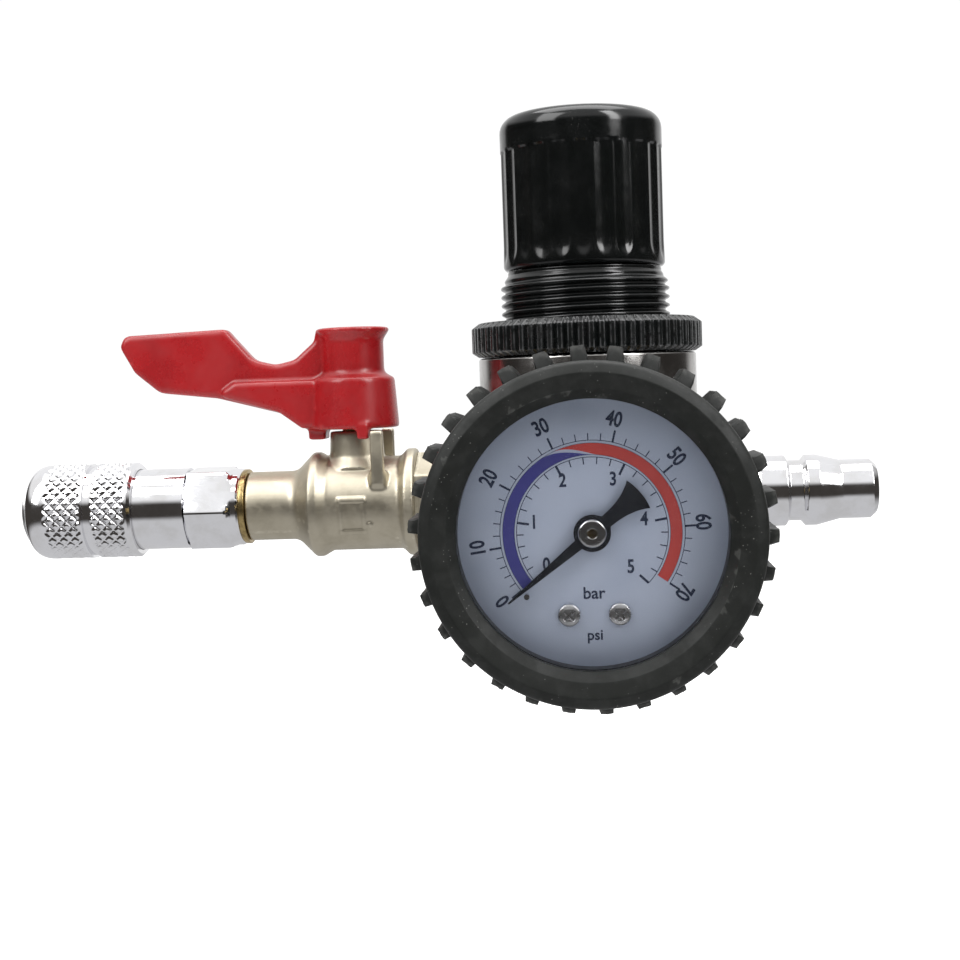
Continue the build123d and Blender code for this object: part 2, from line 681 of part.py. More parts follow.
boot_in = CASE_R + 0.03
with BuildPart() as gauge_boot:
    with BuildSketch(GAUGE_SIDE):
        with BuildLine():
            Polyline(
                (BOOT_BACK, BOOT_BACK_MOUTH_R),
                (BOOT_BACK, CASE_R + BOOT_WALL - 1),
                (BOOT_BACK + 1, CASE_R + BOOT_WALL),
                (BOOT_FRONT - 6, CASE_R + BOOT_WALL),
                (BOOT_FRONT - 4.5, BOOT_RING_R),
                (BOOT_FRONT - 1.5, BOOT_RING_R),
                (BOOT_FRONT, BOOT_RING_R - 1.6),
                (BOOT_FRONT, BOOT_MOUTH_R + 2.2),
                (CASE_RIM + 1.1, BOOT_MOUTH_R),
                (CASE_RIM + 0.05, BOOT_MOUTH_R),
                (CASE_RIM + 0.05, boot_in),
                (CASE_BACK - 0.05, boot_in),
                (CASE_BACK - 0.05, BOOT_BACK_MOUTH_R),
                close=True,
            )
        make_face()
    revolve(axis=GAUGE_AXIS)
    with BuildSketch(across_gauge(LUG_FROM)):
        with PolarLocations((boot_in + 1 + LUG_TIP_R) / 2, LUG_COUNT, start_angle=90 - LUG_PHASE):
            Rectangle(LUG_TIP_R - boot_in - 1, LUG_WIDTH)
    extrude(amount=LUG_TO - LUG_FROM)
keep(gauge_boot.part, "gauge_boot")

# ---- Gauge: dial, pointer and movement ----------------------------------------------------------
stop_angle = POINTER_REST + STOP_PIN_LEAD
stop_place = (
    STOP_PIN_REACH * cos(radians(stop_angle)),
    STOP_PIN_REACH * sin(radians(stop_angle)),
)
screw_places = ((-DIAL_SCREW_X, DIAL_SCREW_RISE), (DIAL_SCREW_X, DIAL_SCREW_RISE))
with BuildPart() as gauge_dial:
    with BuildSketch(across_gauge(DIAL_FACE - DIAL_THICK)):
        Circle(CASE_IN_R - 0.1)
        Circle(ARBOR_R + 0.6, mode=Mode.SUBTRACT)
        with Locations(*screw_places):
            Circle(DIAL_SCREW_R + 0.05, mode=Mode.SUBTRACT)
        with Locations(stop_place):
            Circle(STOP_PIN_R, mode=Mode.SUBTRACT)
    extrude(amount=DIAL_THICK)
keep(gauge_dial.part, "gauge_dial")

with BuildPart() as stop_pin:
    with BuildSketch(across_gauge(DIAL_FACE - DIAL_THICK)):
        with Locations(stop_place):
            Circle(STOP_PIN_R)
    extrude(amount=POINTER_BACK + POINTER_THICK + 0.2 - DIAL_FACE + DIAL_THICK)
keep(stop_pin.part, "stop_pin")

with BuildPart() as dial_screws:
    with BuildSketch(across_gauge(MOVEMENT_FRONT + PLATE_GAUGE)):
        with Locations(*screw_places):
            Circle(DIAL_SCREW_R)
    extrude(amount=DIAL_FACE - MOVEMENT_FRONT - PLATE_GAUGE)
    with BuildSketch(across_gauge(DIAL_FACE)):
        with Locations(*screw_places):
            Circle(DIAL_SCREW_HEAD_R)
    extrude(amount=0.8)
    with BuildSketch(across_gauge(DIAL_FACE + 0.8)):
        with Locations(*screw_places):
            Rectangle(1.7, 0.4)
            Rectangle(0.4, 1.7)
    extrude(amount=-0.4, mode=Mode.SUBTRACT)
keep(dial_screws.part, "dial_screws")

pointer_plane = Plane(
    origin=(0, -POINTER_BACK, GAUGE_Z),
    x_dir=(cos(radians(POINTER_REST)), 0, sin(radians(POINTER_REST))),
    z_dir=(0, -1, 0),
)
with BuildPart() as pointer:
    with BuildSketch(pointer_plane):
        Circle(POINTER_RING_R)
        with BuildLine():
            Polyline(
                (0, 0.8), (POINTER_LENGTH, 0.12), (POINTER_LENGTH, -0.12), (0, -0.8), close=True,
            )
        make_face()
        with BuildLine():
            spread = POINTER_TAIL * sin(radians(POINTER_TAIL_HALF))
            reach = -POINTER_TAIL * cos(radians(POINTER_TAIL_HALF))
            Polyline((reach, spread), (-2, 0.9), (-2, -0.9), (reach, -spread))
            ThreePointArc((reach, -spread), (-POINTER_TAIL, 0), (reach, spread))
        make_face()
        Circle(HUB_R, mode=Mode.SUBTRACT)
    extrude(amount=POINTER_THICK)
keep(pointer.part, "pointer")

with BuildPart() as pointer_hub:
    with BuildSketch(across_gauge(POINTER_BACK - 0.3)):
        Circle(HUB_R)
        Circle(ARBOR_R, mode=Mode.SUBTRACT)
    extrude(amount=HUB_FRONT - POINTER_BACK + 0.3)
    front_rim = pointer_hub.edges().filter_by(GeomType.CIRCLE).sort_by(SortBy.RADIUS)[-2:]
    chamfer(front_rim.sort_by(Axis.Y)[0], 0.3)
keep(pointer_hub.part, "pointer_hub")

PINION_PITCH_R = GEAR_MODULE * PINION_TEETH / 2
SECTOR_PITCH_R = GEAR_MODULE * SECTOR_FULL_TEETH / 2
CENTRE_DISTANCE = PINION_PITCH_R + SECTOR_PITCH_R
TOOTH_ADDENDUM = 0.7 * GEAR_MODULE
TOOTH_DEDENDUM = 1.0 * GEAR_MODULE
TOOTH_ROOT = 0.42 * pi * GEAR_MODULE
TOOTH_TIP = 0.20 * pi * GEAR_MODULE
SECTOR_PLACE = (
    CENTRE_DISTANCE * cos(radians(SECTOR_DIRECTION)),
    CENTRE_DISTANCE * sin(radians(SECTOR_DIRECTION)),
)


def tooth(pitch_r):
    """One straight-flanked tooth on the local X axis, its root sunk into the rim."""
    root = pitch_r - TOOTH_DEDENDUM - 0.2
    tip = pitch_r + TOOTH_ADDENDUM
    with BuildSketch() as outline:
        with BuildLine():
            Polyline(
                (root, TOOTH_ROOT / 2), (tip, TOOTH_TIP / 2), (tip, -TOOTH_TIP / 2),
                (root, -TOOTH_ROOT / 2), close=True,
            )
        make_face()
    return outline.sketch


one_pinion_tooth = tooth(PINION_PITCH_R)
one_sector_tooth = tooth(SECTOR_PITCH_R)
pinion_pitch = 360 / PINION_TEETH
sector_pitch = 360 / SECTOR_FULL_TEETH
with BuildPart() as pointer_arbor:
    with BuildSketch(across_gauge(MOVEMENT_BACK)):
        Circle(ARBOR_R)
    extrude(amount=HUB_FRONT - MOVEMENT_BACK)
    with BuildSketch(across_gauge(GEAR_BACK - 0.1)):
        Circle(PINION_PITCH_R - TOOTH_DEDENDUM)
        with PolarLocations(0, PINION_TEETH, start_angle=SECTOR_DIRECTION + pinion_pitch / 2):
            add(one_pinion_tooth)
    extrude(amount=GEAR_THICK + 0.2)
keep(pointer_arbor.part, "pointer_arbor")

SECTOR_TEETH = int(SECTOR_SWEEP / sector_pitch) + 3
towards_pinion = SECTOR_DIRECTION + 180
rim_from = towards_pinion - (SECTOR_TEETH - 2) * sector_pitch
with BuildPart() as sector_gear:
    with BuildSketch(across_gauge(GEAR_BACK)):
        with Locations(SECTOR_PLACE):
            Circle(1.8)
            with PolarLocations(0, SECTOR_TEETH, start_angle=rim_from,
                                angular_range=SECTOR_TEETH * sector_pitch):
                add(one_sector_tooth)
        rim_r = SECTOR_PITCH_R - TOOTH_DEDENDUM
        middle = rim_from + (SECTOR_TEETH - 1) * sector_pitch / 2
        half = (SECTOR_TEETH - 1) * sector_pitch / 2 + 2
        with BuildLine(Location((SECTOR_PLACE[0], SECTOR_PLACE[1], 0))):
            CenterArc((0, 0), rim_r, middle - half, 2 * half)
            Line(
                (rim_r * cos(radians(middle + half)), rim_r * sin(radians(middle + half))),
                (0, 0),
            )
            Line(
                (0, 0),
                (rim_r * cos(radians(middle - half)), rim_r * sin(radians(middle - half))),
            )
        make_face()
        with Locations(Location((SECTOR_PLACE[0], SECTOR_PLACE[1], 0), SECTOR_DIRECTION)):
            with Locations((2, 0)):
                Rectangle(4, 1.6)
        with Locations(SECTOR_PLACE):
            Circle(0.6, mode=Mode.SUBTRACT)
    extrude(amount=GEAR_THICK)
    with BuildSketch(across_gauge(MOVEMENT_BACK + 0.1)):
        with Locations(SECTOR_PLACE):
            Circle(0.6)
    extrude(amount=MOVEMENT_FRONT + PLATE_GAUGE - MOVEMENT_BACK - 0.2)
keep(sector_gear.part, "sector_gear")

pillar_places = ((-4, 4.5), (-4, -10), (13.5, -2))
with BuildPart() as movement_frame:
    for forward in (MOVEMENT_BACK, MOVEMENT_FRONT):
        with BuildSketch(across_gauge(forward)):
            with BuildLine():
                Polyline((-5.5, 6), (3, 6), (15, 0), (12.5, -12), (7, -13.5), (-5.5, -13.5),
                         close=True)
            make_face()
            Circle(ARBOR_R + RUNNING_GAP, mode=Mode.SUBTRACT)
            with Locations(SECTOR_PLACE):
                Circle(0.6 + RUNNING_GAP, mode=Mode.SUBTRACT)
        extrude(amount=PLATE_GAUGE)
    with BuildSketch(across_gauge(MOVEMENT_BACK)):
        with Locations(*pillar_places):
            Circle(0.9)
    extrude(amount=MOVEMENT_FRONT - MOVEMENT_BACK)
keep(movement_frame.part, "movement_frame")

tube_half_wide = (TUBE_TO - TUBE_FROM) / 2
tube_middle = (TUBE_TO + TUBE_FROM) / 2
tube_start = Plane(
    origin=(0, -tube_middle, GAUGE_Z),
    x_dir=(cos(radians(TUBE_FOOT)), 0, sin(radians(TUBE_FOOT))),
    z_dir=(-sin(radians(TUBE_FOOT)), 0, cos(radians(TUBE_FOOT))),
)
with BuildPart() as bourdon_tube:
    with BuildSketch(tube_start):
        with Locations((TUBE_RADIUS, 0)):
            Rectangle(2 * TUBE_HALF_THICK, 2 * tube_half_wide)
    revolve(axis=Axis((0, 0, GAUGE_Z), (0, 1, 0)), revolution_arc=TUBE_SWEEP)
    with BuildSketch(tube_start):
        with Locations((TUBE_RADIUS, 0)):
            Rectangle(0.8, 2 * tube_half_wide - 0.8)
    revolve(
        axis=Axis((0, 0, GAUGE_Z), (0, 1, 0)), revolution_arc=TUBE_SWEEP - 5, mode=Mode.SUBTRACT,
    )
keep(bourdon_tube.part, "bourdon_tube")

tube_tip = TUBE_FOOT - TUBE_SWEEP + 3
tip_place = (TUBE_RADIUS * cos(radians(tube_tip)), TUBE_RADIUS * sin(radians(tube_tip)))
tail_place = (SECTOR_PLACE[0] + 2.6, SECTOR_PLACE[1] - 2.6)
link_run = (tail_place[0] - tip_place[0], tail_place[1] - tip_place[1])
link_middle = ((tip_place[0] + tail_place[0]) / 2, (tip_place[1] + tail_place[1]) / 2, 0)
link_lean = degrees(atan2(link_run[1], link_run[0]))
with BuildPart() as tip_link:
    with BuildSketch(across_gauge(TUBE_TO)):
        with Locations(tip_place):
            Circle(0.7)
    extrude(amount=1)
    with BuildSketch(across_gauge(TUBE_TO + 1)):
        with Locations(Location(link_middle, link_lean)):
            SlotCenterToCenter(sqrt(link_run[0] ** 2 + link_run[1] ** 2), 2.2)
    extrude(amount=0.6)
keep(tip_link.part, "tip_link")

# ---- Ball valve ---------------------------------------------------------------------------------
ball_seat_x = VALVE_X - BALL_SEAT_OUT
with BuildPart() as valve_body:
    with BuildSketch(PIPE_SIDE):
        with BuildLine():
            Polyline(
                (VALVE_NECK_END - VALVE_THREAD_LENGTH, VALVE_BORE_R),
                (VALVE_NECK_END - VALVE_THREAD_LENGTH, VALVE_THREAD_R),
                (VALVE_NECK_END, VALVE_THREAD_R),
                (VALVE_NECK_END, VALVE_NECK_R),
                (LEFT_FLANGE_X - LEFT_FLANGE_R + VALVE_NECK_R, VALVE_NECK_R),
                (LEFT_FLANGE_X - 0.6, LEFT_FLANGE_R),
                (LEFT_FLANGE_X + 0.6, LEFT_FLANGE_R),
                (LEFT_FLANGE_X + 2.2, VALVE_BODY_R),
                (RIGHT_FLANGE_END - 2.9, VALVE_BODY_R),
                (RIGHT_FLANGE_END - 1.7, RIGHT_FLANGE_R),
                (RIGHT_FLANGE_END - 0.3, RIGHT_FLANGE_R),
                (RIGHT_FLANGE_END, RIGHT_FLANGE_R - 0.3),
                (RIGHT_FLANGE_END, VALVE_CAVITY_R),
                (ball_seat_x, VALVE_CAVITY_R),
                (ball_seat_x, VALVE_BORE_R),
                close=True,
            )
        make_face()
    revolve(axis=PIPE_AXIS)
    with BuildSketch(Plane(origin=(VALVE_X, 0, PIPE_Z + 7.2))):
        Circle(STEM_BOSS_R)
    extrude(amount=STEM_BOSS_TOP - 7.2)
    # the posts that stop the handle
    with BuildSketch(Plane(origin=(VALVE_X + POST_OFFSET, 0, PIPE_Z + 3.6))):
        with Locations((0, POST_Y), (0, -POST_Y)):
            Rectangle(POST_WIDTH, POST_DEPTH)
    extrude(amount=POST_TOP - 3.6)
    with BuildSketch(Plane(origin=(VALVE_X, 0, PIPE_Z + BALL_R))):
        Circle(STEM_R + RUNNING_GAP)
    extrude(amount=STEM_BOSS_TOP - BALL_R, mode=Mode.SUBTRACT)
    with BuildSketch(Plane(origin=(VALVE_X, 0, PIPE_Z + STEM_BOSS_TOP - 3))):
        Circle(STEM_SEAL_R)
    extrude(amount=3, mode=Mode.SUBTRACT)
keep(valve_body.part, "valve_body")

with BuildPart() as valve_end:
    with BuildSketch(PIPE_SIDE):
        with BuildLine():
            Polyline(
                (VALVE_X + BALL_SEAT_OUT, VALVE_BORE_R),
                (VALVE_X + BALL_SEAT_OUT, VALVE_CAVITY_R - THREAD_GAP),
                (RIGHT_FLANGE_END, VALVE_CAVITY_R - THREAD_GAP),
                (RIGHT_FLANGE_END + 0.05, VALVE_END_HEX / 2),
                (-PORT_X - 0.3, VALVE_END_HEX / 2),
                (-PORT_X - 0.3, LINE_THREAD_R),
                (-PORT_X + LINE_PORT_DEPTH - 0.5, LINE_THREAD_R),
                (-PORT_X + LINE_PORT_DEPTH - 0.5, VALVE_BORE_R),
                close=True,
            )
        make_face()
    revolve(axis=PIPE_AXIS)
    with BuildSketch(across_pipe(RIGHT_FLANGE_END + 0.05)):
        RegularPolygon(VALVE_END_HEX / 2, 6, major_radius=False, rotation=35)
        Circle(LINE_THREAD_R, mode=Mode.SUBTRACT)
    extrude(amount=-PORT_X - 0.3 - RIGHT_FLANGE_END - 0.05)
keep(valve_end.part, "valve_end")

with BuildPart() as valve_ball:
    with Locations((VALVE_X, 0, PIPE_Z)):
        Sphere(BALL_R)
        Cylinder(VALVE_BORE_R, 3 * BALL_R, rotation=(0, 90, 0), mode=Mode.SUBTRACT)
    with BuildSketch(Plane(origin=(VALVE_X, 0, PIPE_Z + BALL_R - 1.6))):
        Rectangle(8, 1.9)
    extrude(amount=3, mode=Mode.SUBTRACT)
keep(valve_ball.part, "valve_ball")

with BuildPart() as ball_seats:
    for side in (-1, 1):
        with BuildSketch(across_pipe(VALVE_X + side * BALL_SEAT_IN)):
            Circle(VALVE_CAVITY_R - 0.05)
            Circle(VALVE_BORE_R + 0.4, mode=Mode.SUBTRACT)
        extrude(amount=side * (BALL_SEAT_OUT - BALL_SEAT_IN))
    with Locations((VALVE_X, 0, PIPE_Z)):
        Sphere(BALL_R + RUNNING_GAP, mode=Mode.SUBTRACT)
keep(ball_seats.part, "ball_seats")

with BuildPart() as valve_stem:
    with BuildSketch(Plane(origin=(VALVE_X, 0, PIPE_Z + BALL_R - 1.5))):
        Rectangle(4.4, 1.8)
    extrude(amount=1.8)
    with BuildSketch(Plane(origin=(VALVE_X, 0, PIPE_Z + BALL_R + 0.2))):
        Circle(STEM_R)
    extrude(amount=HUB_SKIRT_BOTTOM - BALL_R - 0.2)
    with BuildSketch(Plane(origin=(VALVE_X, 0, PIPE_Z + HUB_SKIRT_BOTTOM))):
        Rectangle(STEM_SQUARE, STEM_SQUARE)
    extrude(amount=STEM_TOP - HUB_SKIRT_BOTTOM)
    with BuildSketch(Plane(origin=(VALVE_X, 0, PIPE_Z + STEM_TOP - 6))):
        Circle(1.2)
    extrude(amount=6, mode=Mode.SUBTRACT)
keep(valve_stem.part, "valve_stem")

with BuildPart() as stem_seal:
    with BuildSketch(Plane(origin=(VALVE_X, 0, PIPE_Z + STEM_BOSS_TOP - 3))):
        Circle(STEM_SEAL_R - 0.02)
        Circle(STEM_R + RUNNING_GAP, mode=Mode.SUBTRACT)
    extrude(amount=2.8)
keep(stem_seal.part, "stem_seal")

blade_tip = -BLADE_REACH
with BuildPart() as handle:
    with BuildSketch(STEM_SIDE):
        with BuildLine():
            Polyline(
                (0, HUB_SKIRT_BOTTOM),
                (HUB_SKIRT_R, HUB_SKIRT_BOTTOM),
                (HUB_RIDGE_R, HUB_RIDGE_RISE),
                (HUB_WAIST_R, HUB_RIDGE_RISE + 1.2),
                (HUB_WAIST_R, HUB_TOP - 2.2),
                (HUB_LIP_R, HUB_TOP - HUB_LIP_THICK),
                (HUB_LIP_R, HUB_TOP),
                (0, HUB_TOP),
                close=True,
            )
        make_face()
    revolve(axis=STEM_AXIS)
    with BuildSketch(STEM_SIDE):
        with BuildLine():
            Polyline(
                (0, HUB_SKIRT_BOTTOM + 0.6),
                (0, HUB_TOP - 0.4),
                (-NOTCH_REACH + NOTCH_R, HUB_TOP - 0.4),
                (-NOTCH_REACH + NOTCH_R, HUB_TOP - 2),
                (-NOTCH_REACH - NOTCH_R, HUB_TOP - 2),
                (-NOTCH_REACH - NOTCH_R - 1, BLADE_TOP),
                (blade_tip + 1, HUB_TOP),
                (blade_tip, 29.8),
                (blade_tip + 2.6, 25),
                (blade_tip + 7.2, 21.2),
                (-25, 19.9),
                (-13.5, 16.8),
                (-9.6, HUB_SKIRT_BOTTOM + 0.6),
                close=True,
            )
        make_face()
    extrude(amount=BLADE_THICK / 2, both=True)
    # the wider root of the blade
    with BuildSketch(STEM_SIDE):
        with BuildLine():
            Polyline(
                (0, HUB_SKIRT_BOTTOM + 0.3), (0, HUB_RIDGE_RISE), (-22, HUB_RIDGE_RISE),
                (-25, 20.2), (-13.5, 17), (-9.4, HUB_SKIRT_BOTTOM + 0.3), close=True,
            )
        make_face()
    extrude(amount=3.6, both=True)
    # finger notch
    with BuildSketch(STEM_SIDE):
        with Locations((-NOTCH_REACH, NOTCH_RISE)):
            Circle(NOTCH_R)
    extrude(amount=BLADE_THICK, both=True, mode=Mode.SUBTRACT)
    # stop tab at the front, and the lug that meets the rear post when shut
    tab_right = POST_OFFSET - POST_WIDTH / 2 - 0.2
    with BuildSketch(Plane(origin=(VALVE_X, 0, PIPE_Z + 11.8))):
        with Locations((tab_right - STOP_TAB_DEPTH / 2, -6.9)):
            Rectangle(STOP_TAB_DEPTH, 1.8)
        with Locations((-7, (tab_right - 1.55) / 2)):
            Rectangle(3.1, tab_right + 1.55)
    extrude(amount=HUB_SKIRT_BOTTOM - 11.8 + 0.5)
    # square drive, screw hole and screw pocket
    with BuildSketch(Plane(origin=(VALVE_X, 0, PIPE_Z + HUB_SKIRT_BOTTOM))):
        Rectangle(STEM_SQUARE, STEM_SQUARE)
    extrude(amount=STEM_TOP - HUB_SKIRT_BOTTOM, mode=Mode.SUBTRACT)
    with BuildSketch(Plane(origin=(VALVE_X, 0, PIPE_Z + STEM_TOP))):
        Circle(1.6)
    extrude(amount=HUB_TOP - STEM_TOP, mode=Mode.SUBTRACT)
    with BuildSketch(Plane(origin=(VALVE_X, 0, PIPE_Z + HUB_TOP - SCREW_POCKET_DEPTH))):
        Circle(SCREW_POCKET_R)
    extrude(amount=SCREW_POCKET_DEPTH, mode=Mode.SUBTRACT)
keep(handle.part, "handle")

pocket_floor = HUB_TOP - SCREW_POCKET_DEPTH
with BuildPart() as handle_screw:
    with BuildSketch(Plane(origin=(VALVE_X, 0, PIPE_Z + STEM_TOP - 5))):
        Circle(1.2)
    extrude(amount=pocket_floor - STEM_TOP + 5)
    with BuildSketch(Plane(origin=(VALVE_X, 0, PIPE_Z + pocket_floor))):
        Circle(2.6)
    extrude(amount=1.8)
    with BuildSketch(Plane(origin=(VALVE_X, 0, PIPE_Z + pocket_floor + 0.8))):
        Rectangle(3.2, 0.7)
        Rectangle(0.7, 3.2)
    extrude(amount=1, mode=Mode.SUBTRACT)
keep(handle_screw.part, "handle_screw")

# ---- Outlet coupler -----------------------------------------------------------------------------
coupler_washer = on_pipe([
    (VALVE_NECK_END - WASHER_THICK, VALVE_THREAD_R + 0.1),
    (VALVE_NECK_END - WASHER_THICK, WASHER_R),
    (VALVE_NECK_END, WASHER_R),
    (VALVE_NECK_END, VALVE_THREAD_R + 0.1),
])
keep(coupler_washer, "coupler_washer")

collar_end = VALVE_NECK_END - WASHER_THICK
adaptor_end = ADAPTOR_HEX_FROM - ADAPTOR_THREAD_LENGTH
with BuildPart() as coupler_adaptor:
    with BuildSketch(PIPE_SIDE):
        with BuildLine():
            Polyline(
                (adaptor_end, 2.6),
                (adaptor_end, ADAPTOR_THREAD_R),
                (ADAPTOR_HEX_FROM, ADAPTOR_THREAD_R),
                (ADAPTOR_HEX_FROM, ADAPTOR_HEX / 2),
                (ADAPTOR_HEX_TO, ADAPTOR_HEX / 2),
                (collar_end - 0.4, ADAPTOR_COLLAR_R),
                (collar_end, ADAPTOR_COLLAR_R - 0.4),
                (collar_end, VALVE_THREAD_R + THREAD_GAP),
                (VALVE_NECK_END - VALVE_THREAD_LENGTH - 0.4, VALVE_THREAD_R + THREAD_GAP),
                (VALVE_NECK_END - VALVE_THREAD_LENGTH - 0.4, 2.6),
                close=True,
            )
        make_face()
    revolve(axis=PIPE_AXIS)
    with BuildSketch(across_pipe(ADAPTOR_HEX_FROM)):
        RegularPolygon(ADAPTOR_HEX / 2, 6, major_radius=False, rotation=-4)
        Circle(ADAPTOR_THREAD_R, mode=Mode.SUBTRACT)
    extrude(amount=ADAPTOR_HEX_TO - ADAPTOR_HEX_FROM)
keep(coupler_adaptor.part, "coupler_adaptor")

seal_x = CHAMBER_FROM - 2
seal_wire_r = 0.55
ball_bore_r = LOCK_BALL_R + 0.05
body_end = ADAPTOR_HEX_FROM - 0.05
ring_from = SLEEVE_FROM - 0.05 - RING_WIDTH
ring_seat_r = SPIGOT_R - 0.4
with BuildPart() as coupler_body:
    with BuildSketch(PIPE_SIDE):
        with BuildLine():
            Polyline(
                (MOUTH_X, MOUTH_R),
                (MOUTH_X, SPIGOT_R - 0.3),
                (MOUTH_X + 0.25, SPIGOT_R),
                (ring_from, SPIGOT_R),
                (ring_from, ring_seat_r),
                (ring_from + RING_WIDTH, ring_seat_r),
                (ring_from + RING_WIDTH, SPIGOT_R),
                (COUPLER_STEP_X, SPIGOT_R),
                (COUPLER_STEP_X, COUPLER_R),
                (body_end, COUPLER_R),
                (body_end, ADAPTOR_THREAD_R + THREAD_GAP),
                (adaptor_end - 0.1, ADAPTOR_THREAD_R + THREAD_GAP),
                (adaptor_end - 0.1, CHAMBER_BORE_R),
                (CHAMBER_FROM, CHAMBER_BORE_R),
                (CHAMBER_FROM, THROAT_R),
                (seal_x + seal_wire_r + 0.05, THROAT_R),
                (seal_x + seal_wire_r + 0.05, CHAMBER_BORE_R),
                (seal_x - seal_wire_r - 0.05, CHAMBER_BORE_R),
                (seal_x - seal_wire_r - 0.05, THROAT_R),
                (MOUTH_X + MOUTH_DEPTH, THROAT_R),
                (MOUTH_X + MOUTH_DEPTH, MOUTH_R),
                close=True,
            )
        make_face()
    revolve(axis=PIPE_AXIS)
    with Locations((LOCK_BALL_X, 0, PIPE_Z)):
        Cylinder(ball_bore_r, 3 * SPIGOT_R, mode=Mode.SUBTRACT)
        Cylinder(ball_bore_r, 3 * SPIGOT_R, rotation=(90, 0, 0), mode=Mode.SUBTRACT)
keep(coupler_body.part, "coupler_body")

with BuildPart() as locking_balls:
    with Locations(Plane(origin=(LOCK_BALL_X, 0, PIPE_Z), x_dir=(0, 1, 0), z_dir=(1, 0, 0))):
        with PolarLocations(LOCK_BALL_REACH, LOCK_BALLS):
            Sphere(LOCK_BALL_R)
keep(locking_balls.part, "locking_balls")

keep(ring(PIPE_SIDE, PIPE_AXIS, seal_x, CHAMBER_BORE_R - seal_wire_r, seal_wire_r), "coupler_seal")

sleeve_ring = on_pipe([
    (ring_from, ring_seat_r), (ring_from, SPIGOT_R + 0.5),
    (ring_from + RING_WIDTH, SPIGOT_R + 0.5), (ring_from + RING_WIDTH, ring_seat_r),
])
keep(sleeve_ring, "sleeve_ring")

slide_gap = 0.08
groove_from = SLEEVE_GROOVE_X - SLEEVE_GROOVE_WIDTH / 2
groove_to = SLEEVE_GROOVE_X + SLEEVE_GROOVE_WIDTH / 2
with BuildPart() as coupler_sleeve:
    with BuildSketch(PIPE_SIDE):
        with BuildLine():
            Polyline(
                (SLEEVE_SHOULDER, SLEEVE_R),
                (groove_from, SLEEVE_R),
                (groove_from, SLEEVE_R - SLEEVE_GROOVE_DEPTH),
                (groove_to, SLEEVE_R - SLEEVE_GROOVE_DEPTH),
                (groove_to, SLEEVE_R),
                (SLEEVE_TO - 0.5, SLEEVE_R),
                (SLEEVE_TO, SLEEVE_R - 0.5),
                (SLEEVE_TO, COUPLER_R + slide_gap),
                (SPRING_ROOM_FROM, COUPLER_R + slide_gap),
                (SPRING_ROOM_FROM, SPIGOT_R + slide_gap),
                (RELEASE_TO, SPIGOT_R + slide_gap),
                (RELEASE_TO, RELEASE_R),
                (RELEASE_FROM, RELEASE_R),
                (RELEASE_FROM, SPIGOT_R + slide_gap),
                (SLEEVE_FROM, SPIGOT_R + slide_gap),
                (SLEEVE_FROM, SLEEVE_TIP_R),
            )
            nose_length = SLEEVE_SHOULDER - SLEEVE_FROM
            nose_rise = SLEEVE_R - SLEEVE_TIP_R
            nose_r = (nose_length ** 2 + nose_rise ** 2) / (2 * nose_rise)
            RadiusArc((SLEEVE_FROM, SLEEVE_TIP_R), (SLEEVE_SHOULDER, SLEEVE_R), nose_r)
        make_face()
    revolve(axis=PIPE_AXIS)
keep(coupler_sleeve.part, "coupler_sleeve")

sleeve_spring = coil(
    (SPRING_ROOM_FROM, 0, PIPE_Z), (1, 0, 0), COUPLER_STEP_X - SPRING_ROOM_FROM,
    (COUPLER_R + SPIGOT_R) / 2, SLEEVE_WIRE_R, 4,
)
keep(sleeve_spring, "sleeve_spring")

poppet_face = CHAMBER_FROM + SEAT_GAP
coupler_poppet = on_pipe([
    (poppet_face, 0), (poppet_face, 3.3), (poppet_face + 0.9, 4.2), (poppet_face + 2, 4.2),
    (poppet_face + 2, 3.1), (poppet_face + 8, 3.1), (poppet_face + 8, 2.2),
    (poppet_face + 3, 2.2), (poppet_face + 3, 0),
])
keep(coupler_poppet, "coupler_poppet")

coupler_poppet_spring = coil(
    (poppet_face + 2, 0, PIPE_Z), (1, 0, 0), adaptor_end - poppet_face - 2, 3.75, 0.3, 6,
)
keep(coupler_poppet_spring, "coupler_poppet_spring")
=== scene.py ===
"""Air pressure regulator with a gauge, a ball valve and quick couplings.

Builds the visible pieces, their finishes and the stage around the fixed frame. Lengths inside the
bmeshes are in millimetres; a finished piece is scaled to metres.
"""
import math

import bmesh
import bpy
from bpy.props import FloatProperty, FloatVectorProperty, IntProperty, PointerProperty
from mathutils import Matrix, Vector, noise


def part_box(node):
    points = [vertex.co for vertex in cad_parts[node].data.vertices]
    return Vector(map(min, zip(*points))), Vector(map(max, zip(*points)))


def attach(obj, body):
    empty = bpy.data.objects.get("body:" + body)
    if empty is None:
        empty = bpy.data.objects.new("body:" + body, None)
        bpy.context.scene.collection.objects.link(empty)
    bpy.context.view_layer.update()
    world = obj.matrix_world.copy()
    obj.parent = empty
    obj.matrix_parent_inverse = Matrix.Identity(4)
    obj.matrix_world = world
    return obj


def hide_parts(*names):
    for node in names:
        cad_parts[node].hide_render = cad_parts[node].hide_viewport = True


bl_info = {
    "name": "Air Pressure Regulator",
    "version": (1, 0, 0),
    "blender": (4, 5, 0),
    "location": "3D View > Sidebar > Regulator",
    "description": "Pieces, finishes and stage of a panel-mount air pressure regulator",
    "category": "Object",
}

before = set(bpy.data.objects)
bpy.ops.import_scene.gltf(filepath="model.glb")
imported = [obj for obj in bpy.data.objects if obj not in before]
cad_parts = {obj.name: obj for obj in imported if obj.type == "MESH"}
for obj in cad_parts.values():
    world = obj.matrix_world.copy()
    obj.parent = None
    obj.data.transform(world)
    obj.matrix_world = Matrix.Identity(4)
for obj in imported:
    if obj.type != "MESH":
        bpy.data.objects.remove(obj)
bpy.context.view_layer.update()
MM = 0.001


